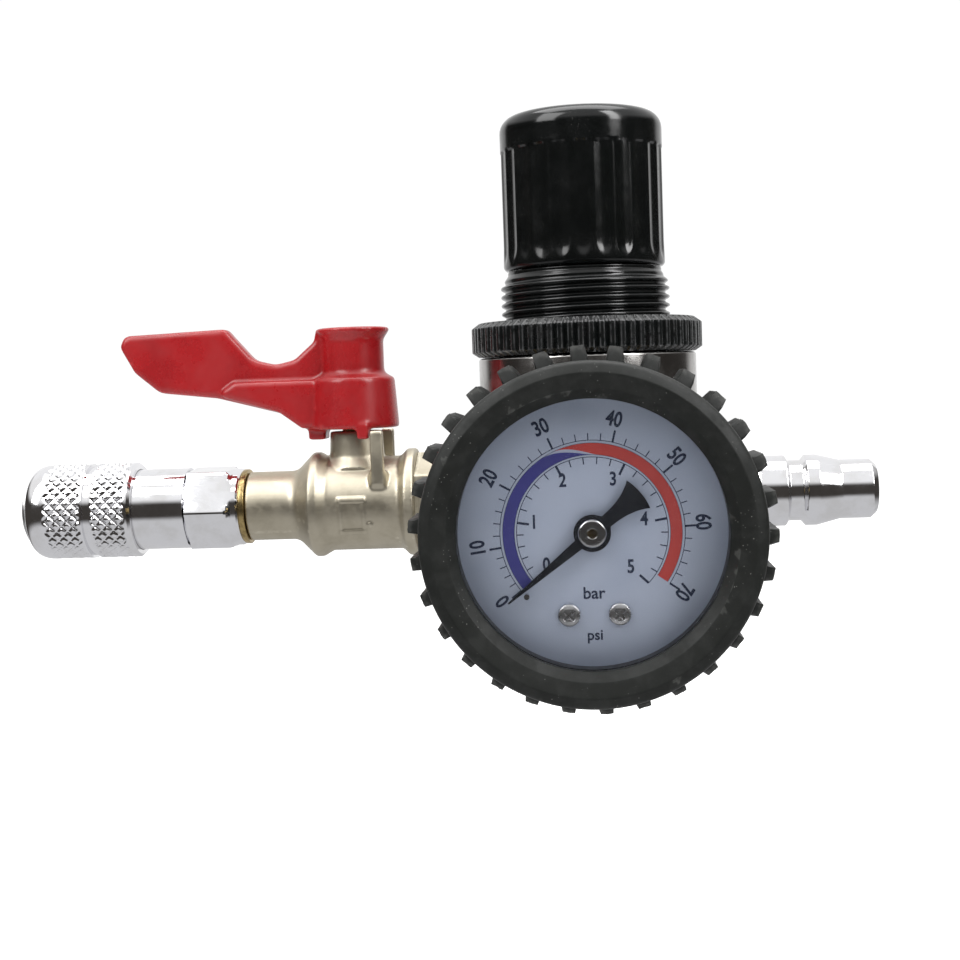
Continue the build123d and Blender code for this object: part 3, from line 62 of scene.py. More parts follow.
def reach(name, axis, high=True):
    """The lowest or highest place of a frame node along an axis, in millimetres."""
    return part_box(name)[1 if high else 0][axis] / MM


def middle(name, axis):
    """The middle of a frame node along an axis, in millimetres."""
    return (reach(name, axis, False) + reach(name, axis)) / 2


PIPE_Z = middle("coupler_body", 2)
GAUGE_Z = middle("gauge_lens", 2)
VALVE_X = middle("valve_stem", 0)
KNOB_TOP = reach("adjusting_knob", 2)
KNOB_BOTTOM = reach("adjusting_knob", 2, False)
DIAL_FACE = -reach("gauge_dial", 1, False)
POINTER_REST = 218.65

# ---- Axes: origin, direction along, direction of angle zero -------------------------------------
KNOB = (Vector((0, 0, 0)), Vector((0, 0, 1)), Vector((1, 0, 0)))
PIPE = (Vector((0, 0, PIPE_Z)), Vector((1, 0, 0)), Vector((0, -1, 0)))
GAUGE = (Vector((0, 0, GAUGE_Z)), Vector((0, -1, 0)), Vector((1, 0, 0)))
STEM = (Vector((VALVE_X, 0, PIPE_Z)), Vector((0, 0, 1)), Vector((1, 0, 0)))


# ---- Shared shaping -----------------------------------------------------------------------------
def smooth_step(low, high, value):
    """0 below low, 1 above high, and a soft ramp between."""
    t = min(max((value - low) / (high - low), 0.0), 1.0)
    return t * t * (3 - 2 * t)


def rounded(points, closed=True, steps=4):
    """An outline whose corners with a third number are turned into arcs of that radius."""
    out = []
    count = len(points)
    for i, point in enumerate(points):
        here = Vector(point[:2])
        radius = point[2] if len(point) > 2 else 0
        if not radius or (not closed and i in (0, count - 1)):
            out.append(tuple(here))
            continue
        before = Vector(points[i - 1][:2]) - here
        after = Vector(points[(i + 1) % count][:2]) - here
        half = before.angle(after) / 2
        cut = min(radius / math.tan(half), 0.49 * before.length, 0.49 * after.length)
        bisector = (before.normalized() + after.normalized()).normalized()
        centre = here + bisector * (cut / math.cos(half))
        start = here + before.normalized() * cut - centre
        end = here + after.normalized() * cut - centre
        first = math.atan2(start.y, start.x)
        sweep = (math.atan2(end.y, end.x) - first + math.pi) % math.tau - math.pi
        for k in range(steps + 1):
            angle = first + sweep * k / steps
            out.append((centre.x + start.length * math.cos(angle),
                        centre.y + start.length * math.sin(angle)))
    return out


def dense(points, step, closed=True):
    """The same outline with extra points, so that no run is longer than step."""
    out = []
    ends = points[1:] + points[:1] if closed else points[1:]
    for a, b in zip(points, ends):
        pieces = max(1, math.ceil(math.dist(a, b) / step))
        out += [(a[0] + (b[0] - a[0]) * k / pieces, a[1] + (b[1] - a[1]) * k / pieces)
                for k in range(pieces)]
    if not closed:
        out.append(tuple(points[-1]))
    return out


def lathe(outline, axis, steps, closed=True):
    """A turned shape from an outline of (along, radius) points."""
    origin, along, out = axis
    bm = bmesh.new()
    verts = [bm.verts.new(origin + along * a + out * r) for a, r in outline]
    pairs = zip(verts, verts[1:] + verts[:1] if closed else verts[1:])
    edges = [bm.edges.new(pair) for pair in pairs]
    bmesh.ops.spin(bm, geom=verts + edges, cent=origin, axis=along, dvec=(0, 0, 0),
                   angle=math.tau, steps=steps, use_merge=True, use_duplicate=False)
    bmesh.ops.remove_doubles(bm, verts=bm.verts, dist=1e-4)
    bmesh.ops.recalc_face_normals(bm, faces=bm.faces)
    return bm


def push(bm, axis, rule):
    """Moves each point outwards by rule(angle, along, radius)."""
    origin, along, out = axis
    side = along.cross(out)
    for vert in bm.verts:
        offset = vert.co - origin
        run = offset.dot(along)
        spoke = offset - along * run
        radius = spoke.length
        if radius > 1e-6:
            angle = math.atan2(offset.dot(side), offset.dot(out))
            vert.co += spoke / radius * rule(angle, run, radius)


def slab(outline, place, thick, edge=0.0, segments=2):
    """A flat outline extruded by thick along the place's Z, its outer edges rounded."""
    bm = bmesh.new()
    face = bm.faces.new([bm.verts.new((x, y, 0)) for x, y in outline])
    grown = bmesh.ops.extrude_face_region(bm, geom=[face])["geom"]
    bmesh.ops.translate(bm, vec=(0, 0, thick),
                        verts=[g for g in grown if isinstance(g, bmesh.types.BMVert)])
    bmesh.ops.recalc_face_normals(bm, faces=bm.faces)
    if edge:
        rims = [e for e in bm.edges if abs(e.verts[0].co.z - e.verts[1].co.z) < 1e-6]
        bmesh.ops.bevel(bm, geom=rims, offset=edge, affect="EDGES", segments=segments,
                        profile=0.5, material=-1)
    bmesh.ops.transform(bm, matrix=place, verts=bm.verts)
    return bm


def block(centre, size, turn=0.0, edge=0.0):
    """A box about a centre, turned about Z, its edges rounded."""
    bm = bmesh.new()
    bmesh.ops.create_cube(bm, size=1)
    bmesh.ops.scale(bm, vec=size, verts=bm.verts)
    if edge:
        bmesh.ops.bevel(bm, geom=bm.edges[:], offset=edge, affect="EDGES", segments=2,
                        profile=0.5, material=-1)
    bmesh.ops.transform(bm, matrix=Matrix.Translation(centre) @ Matrix.Rotation(turn, 4, "Z"),
                        verts=bm.verts)
    return bm


def joined(parts):
    """Several bmeshes in one."""
    whole = bmesh.new()
    for part in parts:
        mesh = bpy.data.meshes.new("part")
        part.to_mesh(mesh)
        part.free()
        whole.from_mesh(mesh)
        bpy.data.meshes.remove(mesh)
    return whole


def melted(bm, voxel, passes, holes=None):
    """Overlapping solids melted into one skin with soft moulded corners; holes are cut first."""
    def placed(shape, name):
        mesh = bpy.data.meshes.new(name)
        shape.to_mesh(mesh)
        shape.free()
        new = bpy.data.objects.new(name, mesh)
        bpy.context.scene.collection.objects.link(new)
        return new

    def skin(name):
        modifier = obj.modifiers.new(name, "REMESH")
        modifier.mode = "VOXEL"
        modifier.voxel_size = voxel

    obj = placed(bm, "melt")
    skin("skin")
    cutter = None
    if holes is not None:
        cutter = placed(holes, "holes")
        cut = obj.modifiers.new("cut", "BOOLEAN")
        cut.operation = "DIFFERENCE"
        cut.object = cutter
        cut.solver = "EXACT"
        skin("skin again")
    soften = obj.modifiers.new("soften", "SMOOTH")
    soften.factor = 0.5
    soften.iterations = passes
    bpy.context.view_layer.update()
    graph = bpy.context.evaluated_depsgraph_get()
    skin_mesh = bpy.data.meshes.new_from_object(obj.evaluated_get(graph), depsgraph=graph)
    out = bmesh.new()
    out.from_mesh(skin_mesh)
    for gone in (obj, cutter):
        if gone:
            bpy.data.objects.remove(gone)
    if not out.faces:
        raise RuntimeError("the melted shape came out empty")
    return out


def piece(bm, name, body, slot, nodes=(), sharp=38.0):
    """Scales a shape to metres and makes it a finished piece that rides on a body."""
    bmesh.ops.scale(bm, vec=(MM, MM, MM), verts=bm.verts)
    mesh = bpy.data.meshes.new(name)
    bm.to_mesh(mesh)
    bm.free()
    mesh.shade_smooth()
    mesh.set_sharp_from_angle(angle=math.radians(sharp))
    obj = bpy.data.objects.new(name, mesh)
    bpy.context.scene.collection.objects.link(obj)
    mesh.materials.append(finish(slot))
    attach(obj, body)
    if nodes:
        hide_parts(*nodes)


def hexagon_radius(angle, flats, vertex, corner=0.12):
    """Radius of a hexagon at an angle, its corners a little blunted."""
    turn = (angle - vertex + math.pi / 6) % (math.pi / 3) - math.pi / 6
    radius = flats / 2 / math.cos(math.pi / 6 - abs(turn))
    return min(radius, flats / 2 / math.cos(math.pi / 6) - corner)


# ---- Finishes -----------------------------------------------------------------------------------
def node(tree, kind, inputs=None, **settings):
    """Adds a node, sets it up, and links its inputs to sockets or fills them with values."""
    new = tree.nodes.new(kind)
    for key, value in settings.items():
        setattr(new, key, value)
    for key, value in (inputs or {}).items():
        if isinstance(value, bpy.types.NodeSocket):
            tree.links.new(value, new.inputs[key])
        else:
            new.inputs[key].default_value = value
    return new


def group(name, inputs, outputs, wire):
    """A shader node group, made once; wire(tree, given) returns the output sockets."""
    if name in bpy.data.node_groups:
        return bpy.data.node_groups[name]
    tree = bpy.data.node_groups.new(name, "ShaderNodeTree")
    for label, kind, default in inputs:
        socket = tree.interface.new_socket(label, in_out="INPUT", socket_type=kind)
        socket.default_value = default
    for label, kind in outputs:
        tree.interface.new_socket(label, in_out="OUTPUT", socket_type=kind)
    given = tree.nodes.new("NodeGroupInput").outputs
    made = wire(tree, given)
    last = tree.nodes.new("NodeGroupOutput")
    for (label, _), socket in zip(outputs, made):
        tree.links.new(socket, last.inputs[label])
    return tree


FLOAT, COLOR = "NodeSocketFloat", "NodeSocketColor"


def ramp(tree, value, low, high, start=0.0, end=1.0):
    """Value from low..high mapped smoothly to start..end."""
    new = node(tree, "ShaderNodeMapRange",
               {"Value": value, "From Min": low, "From Max": high, "To Min": start, "To Max": end},
               interpolation_type="SMOOTHSTEP")
    return new.outputs["Result"]


def cloud(tree, scale, detail=3.0, rough=0.6):
    """Noise on object coordinates."""
    place = node(tree, "ShaderNodeTexCoord").outputs["Object"]
    new = node(tree, "ShaderNodeTexNoise",
               {"Vector": place, "Scale": scale, "Detail": detail, "Roughness": rough})
    return new.outputs["Fac"]


def mix_color(tree, factor, a, b):
    """Blend of two colours."""
    return node(tree, "ShaderNodeMix", {0: factor, 6: a, 7: b}, data_type="RGBA").outputs[2]


def math_node(tree, operation, a, b=0.0):
    """One math operation."""
    return node(tree, "ShaderNodeMath", {0: a, 1: b}, operation=operation).outputs[0]


def tone_group():
    """Patches of a second colour."""
    def wire(tree, given):
        mask = ramp(tree, cloud(tree, given["Scale"], 4.0), 0.42, 0.68)
        amount = math_node(tree, "MULTIPLY", mask, given["Amount"])
        return mix_color(tree, amount, given["Colour"], given["Patch"]), amount
    return group("Patchy Tone",
                 [("Colour", COLOR, (0.5, 0.5, 0.5, 1)), ("Patch", COLOR, (0.4, 0.4, 0.4, 1)),
                  ("Scale", FLOAT, 200.0), ("Amount", FLOAT, 1.0)],
                 [("Colour", COLOR), ("Mask", FLOAT)], wire)


def smudge_group():
    """Roughness that drifts over the surface, with fine handling marks."""
    def wire(tree, given):
        broad = ramp(tree, cloud(tree, given["Scale"], 3.0), 0.35, 0.7)
        fine = ramp(tree, cloud(tree, math_node(tree, "MULTIPLY", given["Scale"], 9.0), 2.0),
                    0.4, 0.75)
        mark = math_node(tree, "ADD", math_node(tree, "MULTIPLY", broad, 0.7),
                         math_node(tree, "MULTIPLY", fine, 0.3))
        return (ramp(tree, mark, 0.0, 1.0, given["Smooth"], given["Rough"]),)
    return group("Handling Smudge",
                 [("Smooth", FLOAT, 0.2), ("Rough", FLOAT, 0.3), ("Scale", FLOAT, 120.0)],
                 [("Roughness", FLOAT)], wire)


def grain_group():
    """Height of a fine grain over a slower unevenness."""
    def wire(tree, given):
        fine = cloud(tree, given["Grain"], 2.0)
        slow = cloud(tree, given["Wave"], 2.0)
        return (math_node(tree, "ADD", math_node(tree, "MULTIPLY", fine, given["Grain Depth"]),
                          math_node(tree, "MULTIPLY", slow, given["Wave Depth"])),)
    return group("Surface Grain",
                 [("Grain", FLOAT, 3000.0), ("Grain Depth", FLOAT, 1.0),
                  ("Wave", FLOAT, 300.0), ("Wave Depth", FLOAT, 0.5)],
                 [("Height", FLOAT)], wire)


def edge_group():
    """Mask of convex edges, broken up by noise; it lightens edges as wear and as a painted edge
    highlight.
    """
    def wire(tree, given):
        bend = node(tree, "ShaderNodeNewGeometry").outputs["Pointiness"]
        edge = ramp(tree, bend, given["From"], given["To"])
        broken = ramp(tree, cloud(tree, 900.0, 3.0), 0.3, 0.6)
        return (math_node(tree, "MULTIPLY", edge, broken),)
    return group("Edge Wear and Painted Highlight", [("From", FLOAT, 0.51), ("To", FLOAT, 0.56)],
                 [("Mask", FLOAT)], wire)


def dust_group():
    """Sparse pale specks."""
    def wire(tree, given):
        place = node(tree, "ShaderNodeTexCoord").outputs["Object"]
        cells = node(tree, "ShaderNodeTexVoronoi", {"Vector": place, "Scale": given["Scale"]})
        speck = ramp(tree, cells.outputs["Distance"], 0.0, given["Size"], 1.0, 0.0)
        patch = ramp(tree, cloud(tree, 260.0, 2.0), 0.5, 0.66)
        return (math_node(tree, "MULTIPLY", speck, patch),)
    return group("Dust Specks", [("Scale", FLOAT, 1800.0), ("Size", FLOAT, 0.16)],
                 [("Mask", FLOAT)], wire)


# Each slot: colour, patch colour, tone = patch scale and amount, rough = smooth and rough places,
# metal, grain and wave = scale and depth, bump = distance in mm, edge = amount and colour of
# lighter edges (wear, and a painted edge highlight), dust = amount of specks, shine = specular
# level. What a slot leaves out is taken from PLAIN.
PLAIN = dict(metal=0.0, alpha=1.0, shine=0.5, grain=(3600, 1.0), wave=(300, 0.4), bump=0.002)
FINISHES = {
    "body_plate": dict(base=(0.34, 0.33, 0.32), patch=(0.26, 0.25, 0.24), tone=(150, 0.5),
        rough=(0.16, 0.26), metal=1.0, grain=(3500, 0.5), wave=(140, 0.8), bump=0.004),
    "black_plastic": dict(base=(0.002, 0.0025, 0.0025), patch=(0.004, 0.0045, 0.0045),
        tone=(260, 0.8), rough=(0.12, 0.22), shine=0.4, grain=(2600, 0.4), wave=(220, 1.0),
        bump=0.006, dust=0.10),
    # the nut's pale edge colour is a painted glint on the tops of its teeth
    "nut_plastic": dict(base=(0.004, 0.005, 0.005), patch=(0.008, 0.008, 0.008), tone=(260, 0.8),
        rough=(0.18, 0.30), shine=0.4, grain=(2600, 0.6), wave=(220, 0.8), bump=0.006,
        edge=(0.20, (0.32, 0.32, 0.33)), dust=0.16),
    "red_plastic": dict(base=(0.25, 0.006, 0.008), patch=(0.19, 0.004, 0.006), tone=(120, 0.6),
        rough=(0.26, 0.38), grain=(3000, 0.6), wave=(180, 1.0), bump=0.008,
        edge=(0.10, (0.75, 0.10, 0.10))),
    "rubber": dict(base=(0.005, 0.006, 0.005), patch=(0.010, 0.011, 0.010), tone=(420, 0.8),
        rough=(0.48, 0.66), shine=0.3, grain=(3800, 1.0), wave=(500, 0.8), bump=0.02,
        edge=(0.3, (0.08, 0.08, 0.075)), dust=0.4),
    "seal_rubber": dict(base=(0.014, 0.014, 0.014), patch=(0.03, 0.03, 0.03), tone=(500, 0.6),
        rough=(0.35, 0.5), grain=(4000, 1.0), wave=(400, 0.4), bump=0.01),
    "valve_nickel": dict(base=(0.53, 0.485, 0.385), patch=(0.42, 0.38, 0.29), tone=(240, 0.55),
        rough=(0.40, 0.56), metal=1.0, grain=(2400, 1.0), wave=(420, 1.4), bump=0.022,
        edge=(0.35, (0.80, 0.75, 0.62))),
    "brass": dict(base=(0.44, 0.33, 0.15), patch=(0.20, 0.14, 0.06), tone=(900, 0.8),
        rough=(0.22, 0.42), metal=1.0, grain=(3000, 1.0), wave=(600, 0.8), bump=0.012),
    "chrome": dict(base=(0.82, 0.82, 0.84), patch=(0.68, 0.67, 0.66), tone=(200, 0.5),
        rough=(0.06, 0.15), metal=1.0, grain=(4000, 0.4), wave=(260, 0.6), bump=0.003),
    "spring_steel": dict(base=(0.40, 0.40, 0.41), patch=(0.25, 0.23, 0.21), tone=(900, 0.7),
        rough=(0.28, 0.42), metal=1.0, grain=(5000, 1.0), wave=(400, 0.3), bump=0.005),
    "steel": dict(base=(0.62, 0.62, 0.63), patch=(0.45, 0.45, 0.46), tone=(700, 0.6),
        rough=(0.20, 0.34), metal=1.0, grain=(4500, 1.0), wave=(500, 0.4), bump=0.004),
    "case_black": dict(base=(0.016, 0.016, 0.017), patch=(0.03, 0.03, 0.03), tone=(300, 0.6),
        rough=(0.35, 0.5), grain=(3200, 1.0), bump=0.008),
    "spacer_black": dict(base=(0.012, 0.012, 0.014), patch=(0.022, 0.022, 0.024), tone=(300, 0.6),
        rough=(0.4, 0.55), grain=(3200, 1.0), bump=0.006),
    "dial_white": dict(base=(0.23, 0.26, 0.33), patch=(0.20, 0.23, 0.30), tone=(90, 0.7),
        rough=(0.42, 0.55), wave=(200, 0.4)),
    "pointer_black": dict(base=(0.006, 0.006, 0.008), patch=(0.010, 0.010, 0.013),
        tone=(500, 0.6), rough=(0.38, 0.5), shine=0.12, bump=0.003),
    "white_seal": dict(base=(0.80, 0.80, 0.77), patch=(0.72, 0.71, 0.66), tone=(300, 0.6),
        rough=(0.35, 0.48), grain=(2500, 1.0), bump=0.006),
    "dial_ink": dict(base=(0.012, 0.016, 0.035), patch=(0.03, 0.036, 0.06), tone=(2600, 0.7),
        rough=(0.4, 0.55), shine=0.2),
    "dial_ink_red": dict(base=(0.27, 0.018, 0.014), patch=(0.33, 0.03, 0.022), tone=(2600, 0.7),
        rough=(0.4, 0.55)),
    "dial_ink_blue": dict(base=(0.018, 0.018, 0.13), patch=(0.028, 0.026, 0.17), tone=(2600, 0.7),
        rough=(0.4, 0.55)),
    "clear_lens": dict(base=(0.03, 0.035, 0.04), patch=(0.04, 0.045, 0.05), tone=(200, 0.5),
        rough=(0.03, 0.07), alpha=0.07, grain=(3000, 0.3), wave=(120, 0.4), bump=0.001),
}
SMUDGE_SCALE = 140.0
DUST_COLOUR = (0.62, 0.61, 0.58, 1)
TINTS = {"black_plastic": "knob_colour", "red_plastic": "handle_colour", "rubber": "boot_colour",
         "valve_nickel": "valve_colour", "chrome": "chrome_colour", "body_plate": "body_colour",
         "dial_white": "dial_colour"}


def finish(slot):
    """The procedural material of a slot, built the first time it is asked for."""
    name = "finish_" + slot
    if name in bpy.data.materials:
        return bpy.data.materials[name]
    look = {**PLAIN, **FINISHES[slot]}
    base = look["base"]
    if slot in TINTS:
        base = getattr(bpy.context.scene.regulator_finishes, TINTS[slot])
    material = bpy.data.materials.new(name)
    material.use_nodes = True
    tree = material.node_tree
    tree.nodes.clear()
    shader = node(tree, "ShaderNodeBsdfPrincipled")
    out = node(tree, "ShaderNodeOutputMaterial")
    tree.links.new(shader.outputs[0], out.inputs["Surface"])
    shader.inputs["Metallic"].default_value = look["metal"]
    shader.inputs["Alpha"].default_value = look["alpha"]
    shader.inputs["Specular IOR Level"].default_value = look["shine"]
    tone = node(tree, "ShaderNodeGroup", node_tree=tone_group())
    tone.inputs["Colour"].default_value = (*base, 1)
    tone.inputs["Patch"].default_value = (*look["patch"], 1)
    tone.inputs["Scale"].default_value, tone.inputs["Amount"].default_value = look["tone"]
    colour = tone.outputs["Colour"]
    # Lighter convex edges: edge wear, and a painted edge highlight (a painted glint on the nut's
    # teeth).
    if "edge" in look:
        amount, pale = look["edge"]
        edge_wear_and_highlight = node(tree, "ShaderNodeGroup", node_tree=edge_group())
        factor = math_node(tree, "MULTIPLY", edge_wear_and_highlight.outputs["Mask"], amount)
        colour = mix_color(tree, factor, colour, (*pale, 1))
    if "dust" in look:
        specks = node(tree, "ShaderNodeGroup", node_tree=dust_group())
        factor = math_node(tree, "MULTIPLY", specks.outputs["Mask"], look["dust"])
        colour = mix_color(tree, factor, colour, DUST_COLOUR)
    tree.links.new(colour, shader.inputs["Base Color"])
    smudge = node(tree, "ShaderNodeGroup", node_tree=smudge_group())
    smudge.inputs["Smooth"].default_value, smudge.inputs["Rough"].default_value = look["rough"]
    smudge.inputs["Scale"].default_value = SMUDGE_SCALE
    tree.links.new(smudge.outputs["Roughness"], shader.inputs["Roughness"])
    grain = node(tree, "ShaderNodeGroup", node_tree=grain_group())
    grain.inputs["Grain"].default_value, grain.inputs["Grain Depth"].default_value = look["grain"]
    grain.inputs["Wave"].default_value, grain.inputs["Wave Depth"].default_value = look["wave"]
    bump = node(tree, "ShaderNodeBump", {"Height": grain.outputs["Height"], "Strength": 0.5,
                                         "Distance": look["bump"] * MM})
    tree.links.new(bump.outputs["Normal"], shader.inputs["Normal"])
    return material


# ---- Sizes and colours that a user would change --------------------------------------------------
class RegulatorSizes(bpy.types.PropertyGroup):
    """Sizes of the details that are modelled on the fixed frame"""
    flutes: IntProperty(name="Knob flutes", description="Grip flutes round the knob",
                        default=24, min=6, max=60)
    flute_depth: FloatProperty(name="Flute depth", description="Depth of a grip flute",
                               default=0.0003, unit="LENGTH")
    thread_pitch: FloatProperty(name="Panel thread pitch", description="Rise of the panel thread",
                                default=0.0015, unit="LENGTH")
    thread_depth: FloatProperty(name="Panel thread depth", description="Depth of the panel thread",
                                default=0.00075, unit="LENGTH")
    nut_teeth: IntProperty(name="Nut teeth", description="Grip teeth round the panel nut",
                           default=72, min=12, max=120)
    tooth_depth: FloatProperty(name="Tooth depth", description="Depth between the nut's teeth",
                               default=0.0006, unit="LENGTH")
    lugs: IntProperty(name="Boot lugs", description="Lugs round the gauge boot",
                      default=30, min=6, max=60)
    knurls: IntProperty(name="Knurls round", description="Diamonds round the coupler's sleeve",
                        default=26, min=8, max=80)
    knurl_depth: FloatProperty(name="Knurl depth", description="Depth of the diamond knurl",
                               default=0.00038, unit="LENGTH")
    dial_figures: FloatProperty(name="Dial figures", description="Height of the outer figures",
                                default=0.003, unit="LENGTH")


def tint(label, slot, description):
    """A colour setting that starts at the colour of a slot."""
    return FloatVectorProperty(name=label, description=description, subtype="COLOR",
                               default=FINISHES[slot]["base"])


class RegulatorFinishes(bpy.types.PropertyGroup):
    """Colours of the main finishes"""
    knob_colour: tint("Knob", "black_plastic", "Moulded black plastic")
    handle_colour: tint("Handle", "red_plastic", "Moulded red plastic")
    boot_colour: tint("Gauge boot", "rubber", "Rubber of the boot")
    valve_colour: tint("Ball valve", "valve_nickel", "Nickel plate on cast brass")
    chrome_colour: tint("Couplings", "chrome", "Bright plate")
    body_colour: tint("Regulator body", "body_plate", "Satin plate")
    dial_colour: tint("Dial", "dial_white", "Face of the gauge")


class StageSettings(bpy.types.PropertyGroup):
    """Camera and lights"""
    lens: FloatProperty(name="Lens", description="Focal length of the camera, in millimetres",
                        default=56.41)
    dome: FloatProperty(name="Dome", description="Strength of the white surroundings", default=1.0)
    softbox: FloatProperty(name="Softboxes", description="Power of each softbox", default=3.0,
                           unit="POWER")
    floor_drop: FloatProperty(name="Floor drop", description="Floor below the air line's level",
                              default=0.108, unit="LENGTH")


def sizes():
    """The size settings of this scene."""
    return bpy.context.scene.regulator_sizes


# ---- Knob, bonnet and nut -----------------------------------------------------------------------
class REGULATOR_OT_knob(bpy.types.Operator):
    """Domed knob with grip flutes"""
    bl_idname = "regulator.knob"
    bl_label = "Adjusting Knob"

    def execute(self, context):
        count, depth = sizes().flutes, sizes().flute_depth / MM
        outer, inner, ceiling = 14.35, 12.3, 30.2
        grip_low, grip_high = 10.6, 29.9
        shell = rounded([
            (KNOB_TOP, 0), (KNOB_TOP, outer, 4.0), (grip_high + 0.5, outer),
            (KNOB_BOTTOM, outer, 0.9), (KNOB_BOTTOM, inner), (ceiling, inner), (ceiling, 0),
        ], closed=False, steps=8)
        bm = lathe(dense(shell, 0.35, False), KNOB, count * 16, closed=False)

        def flute(angle, along, radius):
            if radius < 13.5 or not grip_low - 0.8 < along < grip_high + 0.3:
                return 0.0
            turn = (angle * count / math.tau + 0.5) % 1.0 - 0.5
            across = min(abs(turn) / 0.42, 1.0)
            scoop = math.cos(across * math.pi / 2)
            foot = grip_low + 1.1 * across ** 2
            ends = smooth_step(foot - 0.6, foot + 1.6, along)
            lip = 1 - smooth_step(grip_high - 0.15, grip_high + 0.1, along)
            return -(depth * scoop * ends + 0.09 * smooth_step(grip_low, grip_low + 3, along)) * lip

        push(bm, KNOB, flute)
        piece(bm, "adjusting_knob_moulding", "knob", "black_plastic", ["adjusting_knob"])
        return {"FINISHED"}


class REGULATOR_OT_bonnet(bpy.types.Operator):
    """Bonnet with its panel thread"""
    bl_idname = "regulator.bonnet"
    bl_label = "Bonnet"

    def execute(self, context):
        pitch, depth = sizes().thread_pitch / MM, sizes().thread_depth / MM
        crest = 15.0
        outside = rounded([
            (29.0, 5.55), (29.0, 12.0, 0.4), (8.9, 12.0), (8.9, 13.65, 0.15), (8.3, 13.65),
            (6.3, crest), (-7.0, crest), (-7.0, 16.45, 0.3), (-17.0, 16.45), (-17.0, 13.2),
            (-12.0, 13.2), (-8.0, 9.0), (25.9, 9.0), (25.9, 5.55),
        ])
        bm = lathe(dense(outside, 0.11 * pitch / 1.5 * 1.2), KNOB, 144)

        def thread(angle, along, radius):
            if radius < 13.3 or not -6.9 < along < 8.85:
                return 0.0
            phase = (along / pitch - angle / math.tau) % 1.0
            wave = abs(phase - 0.5) * 2
            cut = smooth_step(0.12, 0.9, wave)
            fade = 1 - smooth_step(5.9, 8.2, along)
            return -depth * cut * fade

        push(bm, KNOB, thread)
        piece(bm, "bonnet_threaded", "regulator", "black_plastic", ["bonnet"], sharp=60)
        return {"FINISHED"}


class REGULATOR_OT_panel_nut(bpy.types.Operator):
    """Toothed panel nut"""
    bl_idname = "regulator.panel_nut"
    bl_label = "Panel Nut"

    def execute(self, context):
        count, depth = sizes().nut_teeth, sizes().tooth_depth / MM
        outline = rounded([
            (0.0, 15.05), (0.0, 19.2, 0.15), (-0.95, 20.5, 0.25), (-5.2, 20.5, 0.25),
            (-6.0, 19.3, 0.15), (-6.0, 15.05),
        ])
        bm = lathe(dense(outline, 0.5), KNOB, count * 10)

        def tooth(angle, along, radius):
            if radius < 19.3:
                return 0.0
            turn = abs((angle * count / math.tau) % 1.0 - 0.5) * 2
            gap = smooth_step(0.35, 0.95, turn)
            return -min(depth, radius - 19.25) * gap

        push(bm, KNOB, tooth)
        piece(bm, "panel_nut_toothed", "regulator", "nut_plastic", ["panel_nut"], sharp=50)
        return {"FINISHED"}


class REGULATOR_OT_body(bpy.types.Operator):
    """Regulator body: round shoulder, block and foot"""
    bl_idname = "regulator.body"
    bl_label = "Regulator Body"

    def execute(self, context):
        drum = lathe(rounded([
            (-6.2, 16.5), (-6.2, 19.35, 0.5), (-32.0, 19.35), (-32.0, 16.5),
        ]), KNOB, 160)
        corner = [(20.0, 19.6, 9.0), (-20.0, 19.6, 9.0), (-20.0, -19.6, 9.0), (20.0, -19.6, 9.0)]
        square = slab(rounded(corner, steps=10), Matrix.Translation((0, 0, -44.0)), 24.0, 0.6, 3)
        foot = lathe(rounded([
            (-40.0, 8.1), (-40.0, 13.0), (-49.0, 13.0, 0.6), (-49.0, 8.1),
        ]), KNOB, 120)
        for part, name in ((drum, "body_shoulder"), (square, "body_block"), (foot, "body_foot")):
            nodes = ["regulator_body"] if name == "body_block" else []
            piece(part, name, "regulator", "body_plate", nodes)
        return {"FINISHED"}


# ---- Gauge --------------------------------------------------------------------------------------
class REGULATOR_OT_gauge_boot(bpy.types.Operator):
    """Rubber boot with lugs"""
    bl_idname = "regulator.gauge_boot"
    bl_label = "Gauge Boot"

    def execute(self, context):
        count = sizes().lugs
        outline = rounded([
            (35.5, 17.0), (35.5, 22.95, 0.9), (58.8, 22.95, 0.5), (60.4, 24.3, 0.6),
            (64.2, 24.3, 1.1), (65.0, 22.6, 0.5), (64.35, 20.35, 0.35), (63.1, 19.0, 0.3),
            (62.55, 19.0), (62.55, 20.53), (36.45, 20.53), (36.45, 17.0),
        ], steps=5)
        bm = lathe(dense(outline, 0.55), GAUGE, count * 12)
        phase = math.radians(90 + 2.65)

        def lug(angle, along, radius):
            if not 22.9 < radius < 23.0 or not 43.2 < along < 57.6:
                return 0.0
            turn = (((angle - phase) * count / math.tau) + 0.5) % 1.0 - 0.5
            side = 1 - smooth_step(0.19, 0.27, abs(turn))
            ends = smooth_step(43.4, 44.2, along) * (1 - smooth_step(56.8, 57.4, along))
            ragged = 0.12 * noise.noise(Vector((angle * 30, along * 0.8, 3.0)))
            return (3.6 + ragged) * side * ends

        push(bm, GAUGE, lug)
        piece(bm, "gauge_boot_moulding", "regulator", "rubber", ["gauge_boot"], sharp=34)
        return {"FINISHED"}


PSI_ANGLES = (218.05, 188.05, 151.05, 113.65, 75.75, 38.55, 2.45, -34.95)
BAR_ANGLES = (218.05, 171.05, 116.9, 63.2, 9.3, -43.6)


def dial_place(forward):
    """Matrix of a plane parallel to the dial at a forward distance."""
    turn = Matrix(((1, 0, 0, 0), (0, 0, -1, 0), (0, 1, 0, 0), (0, 0, 0, 1)))
    return Matrix.Translation((0, -forward, GAUGE_Z)) @ turn


def along_scale(marks, value, step):
    """Angle of a value between the numbered marks."""
    index = min(int(value / step), len(marks) - 2)
    share = value / step - index
    return marks[index] + (marks[index + 1] - marks[index]) * share


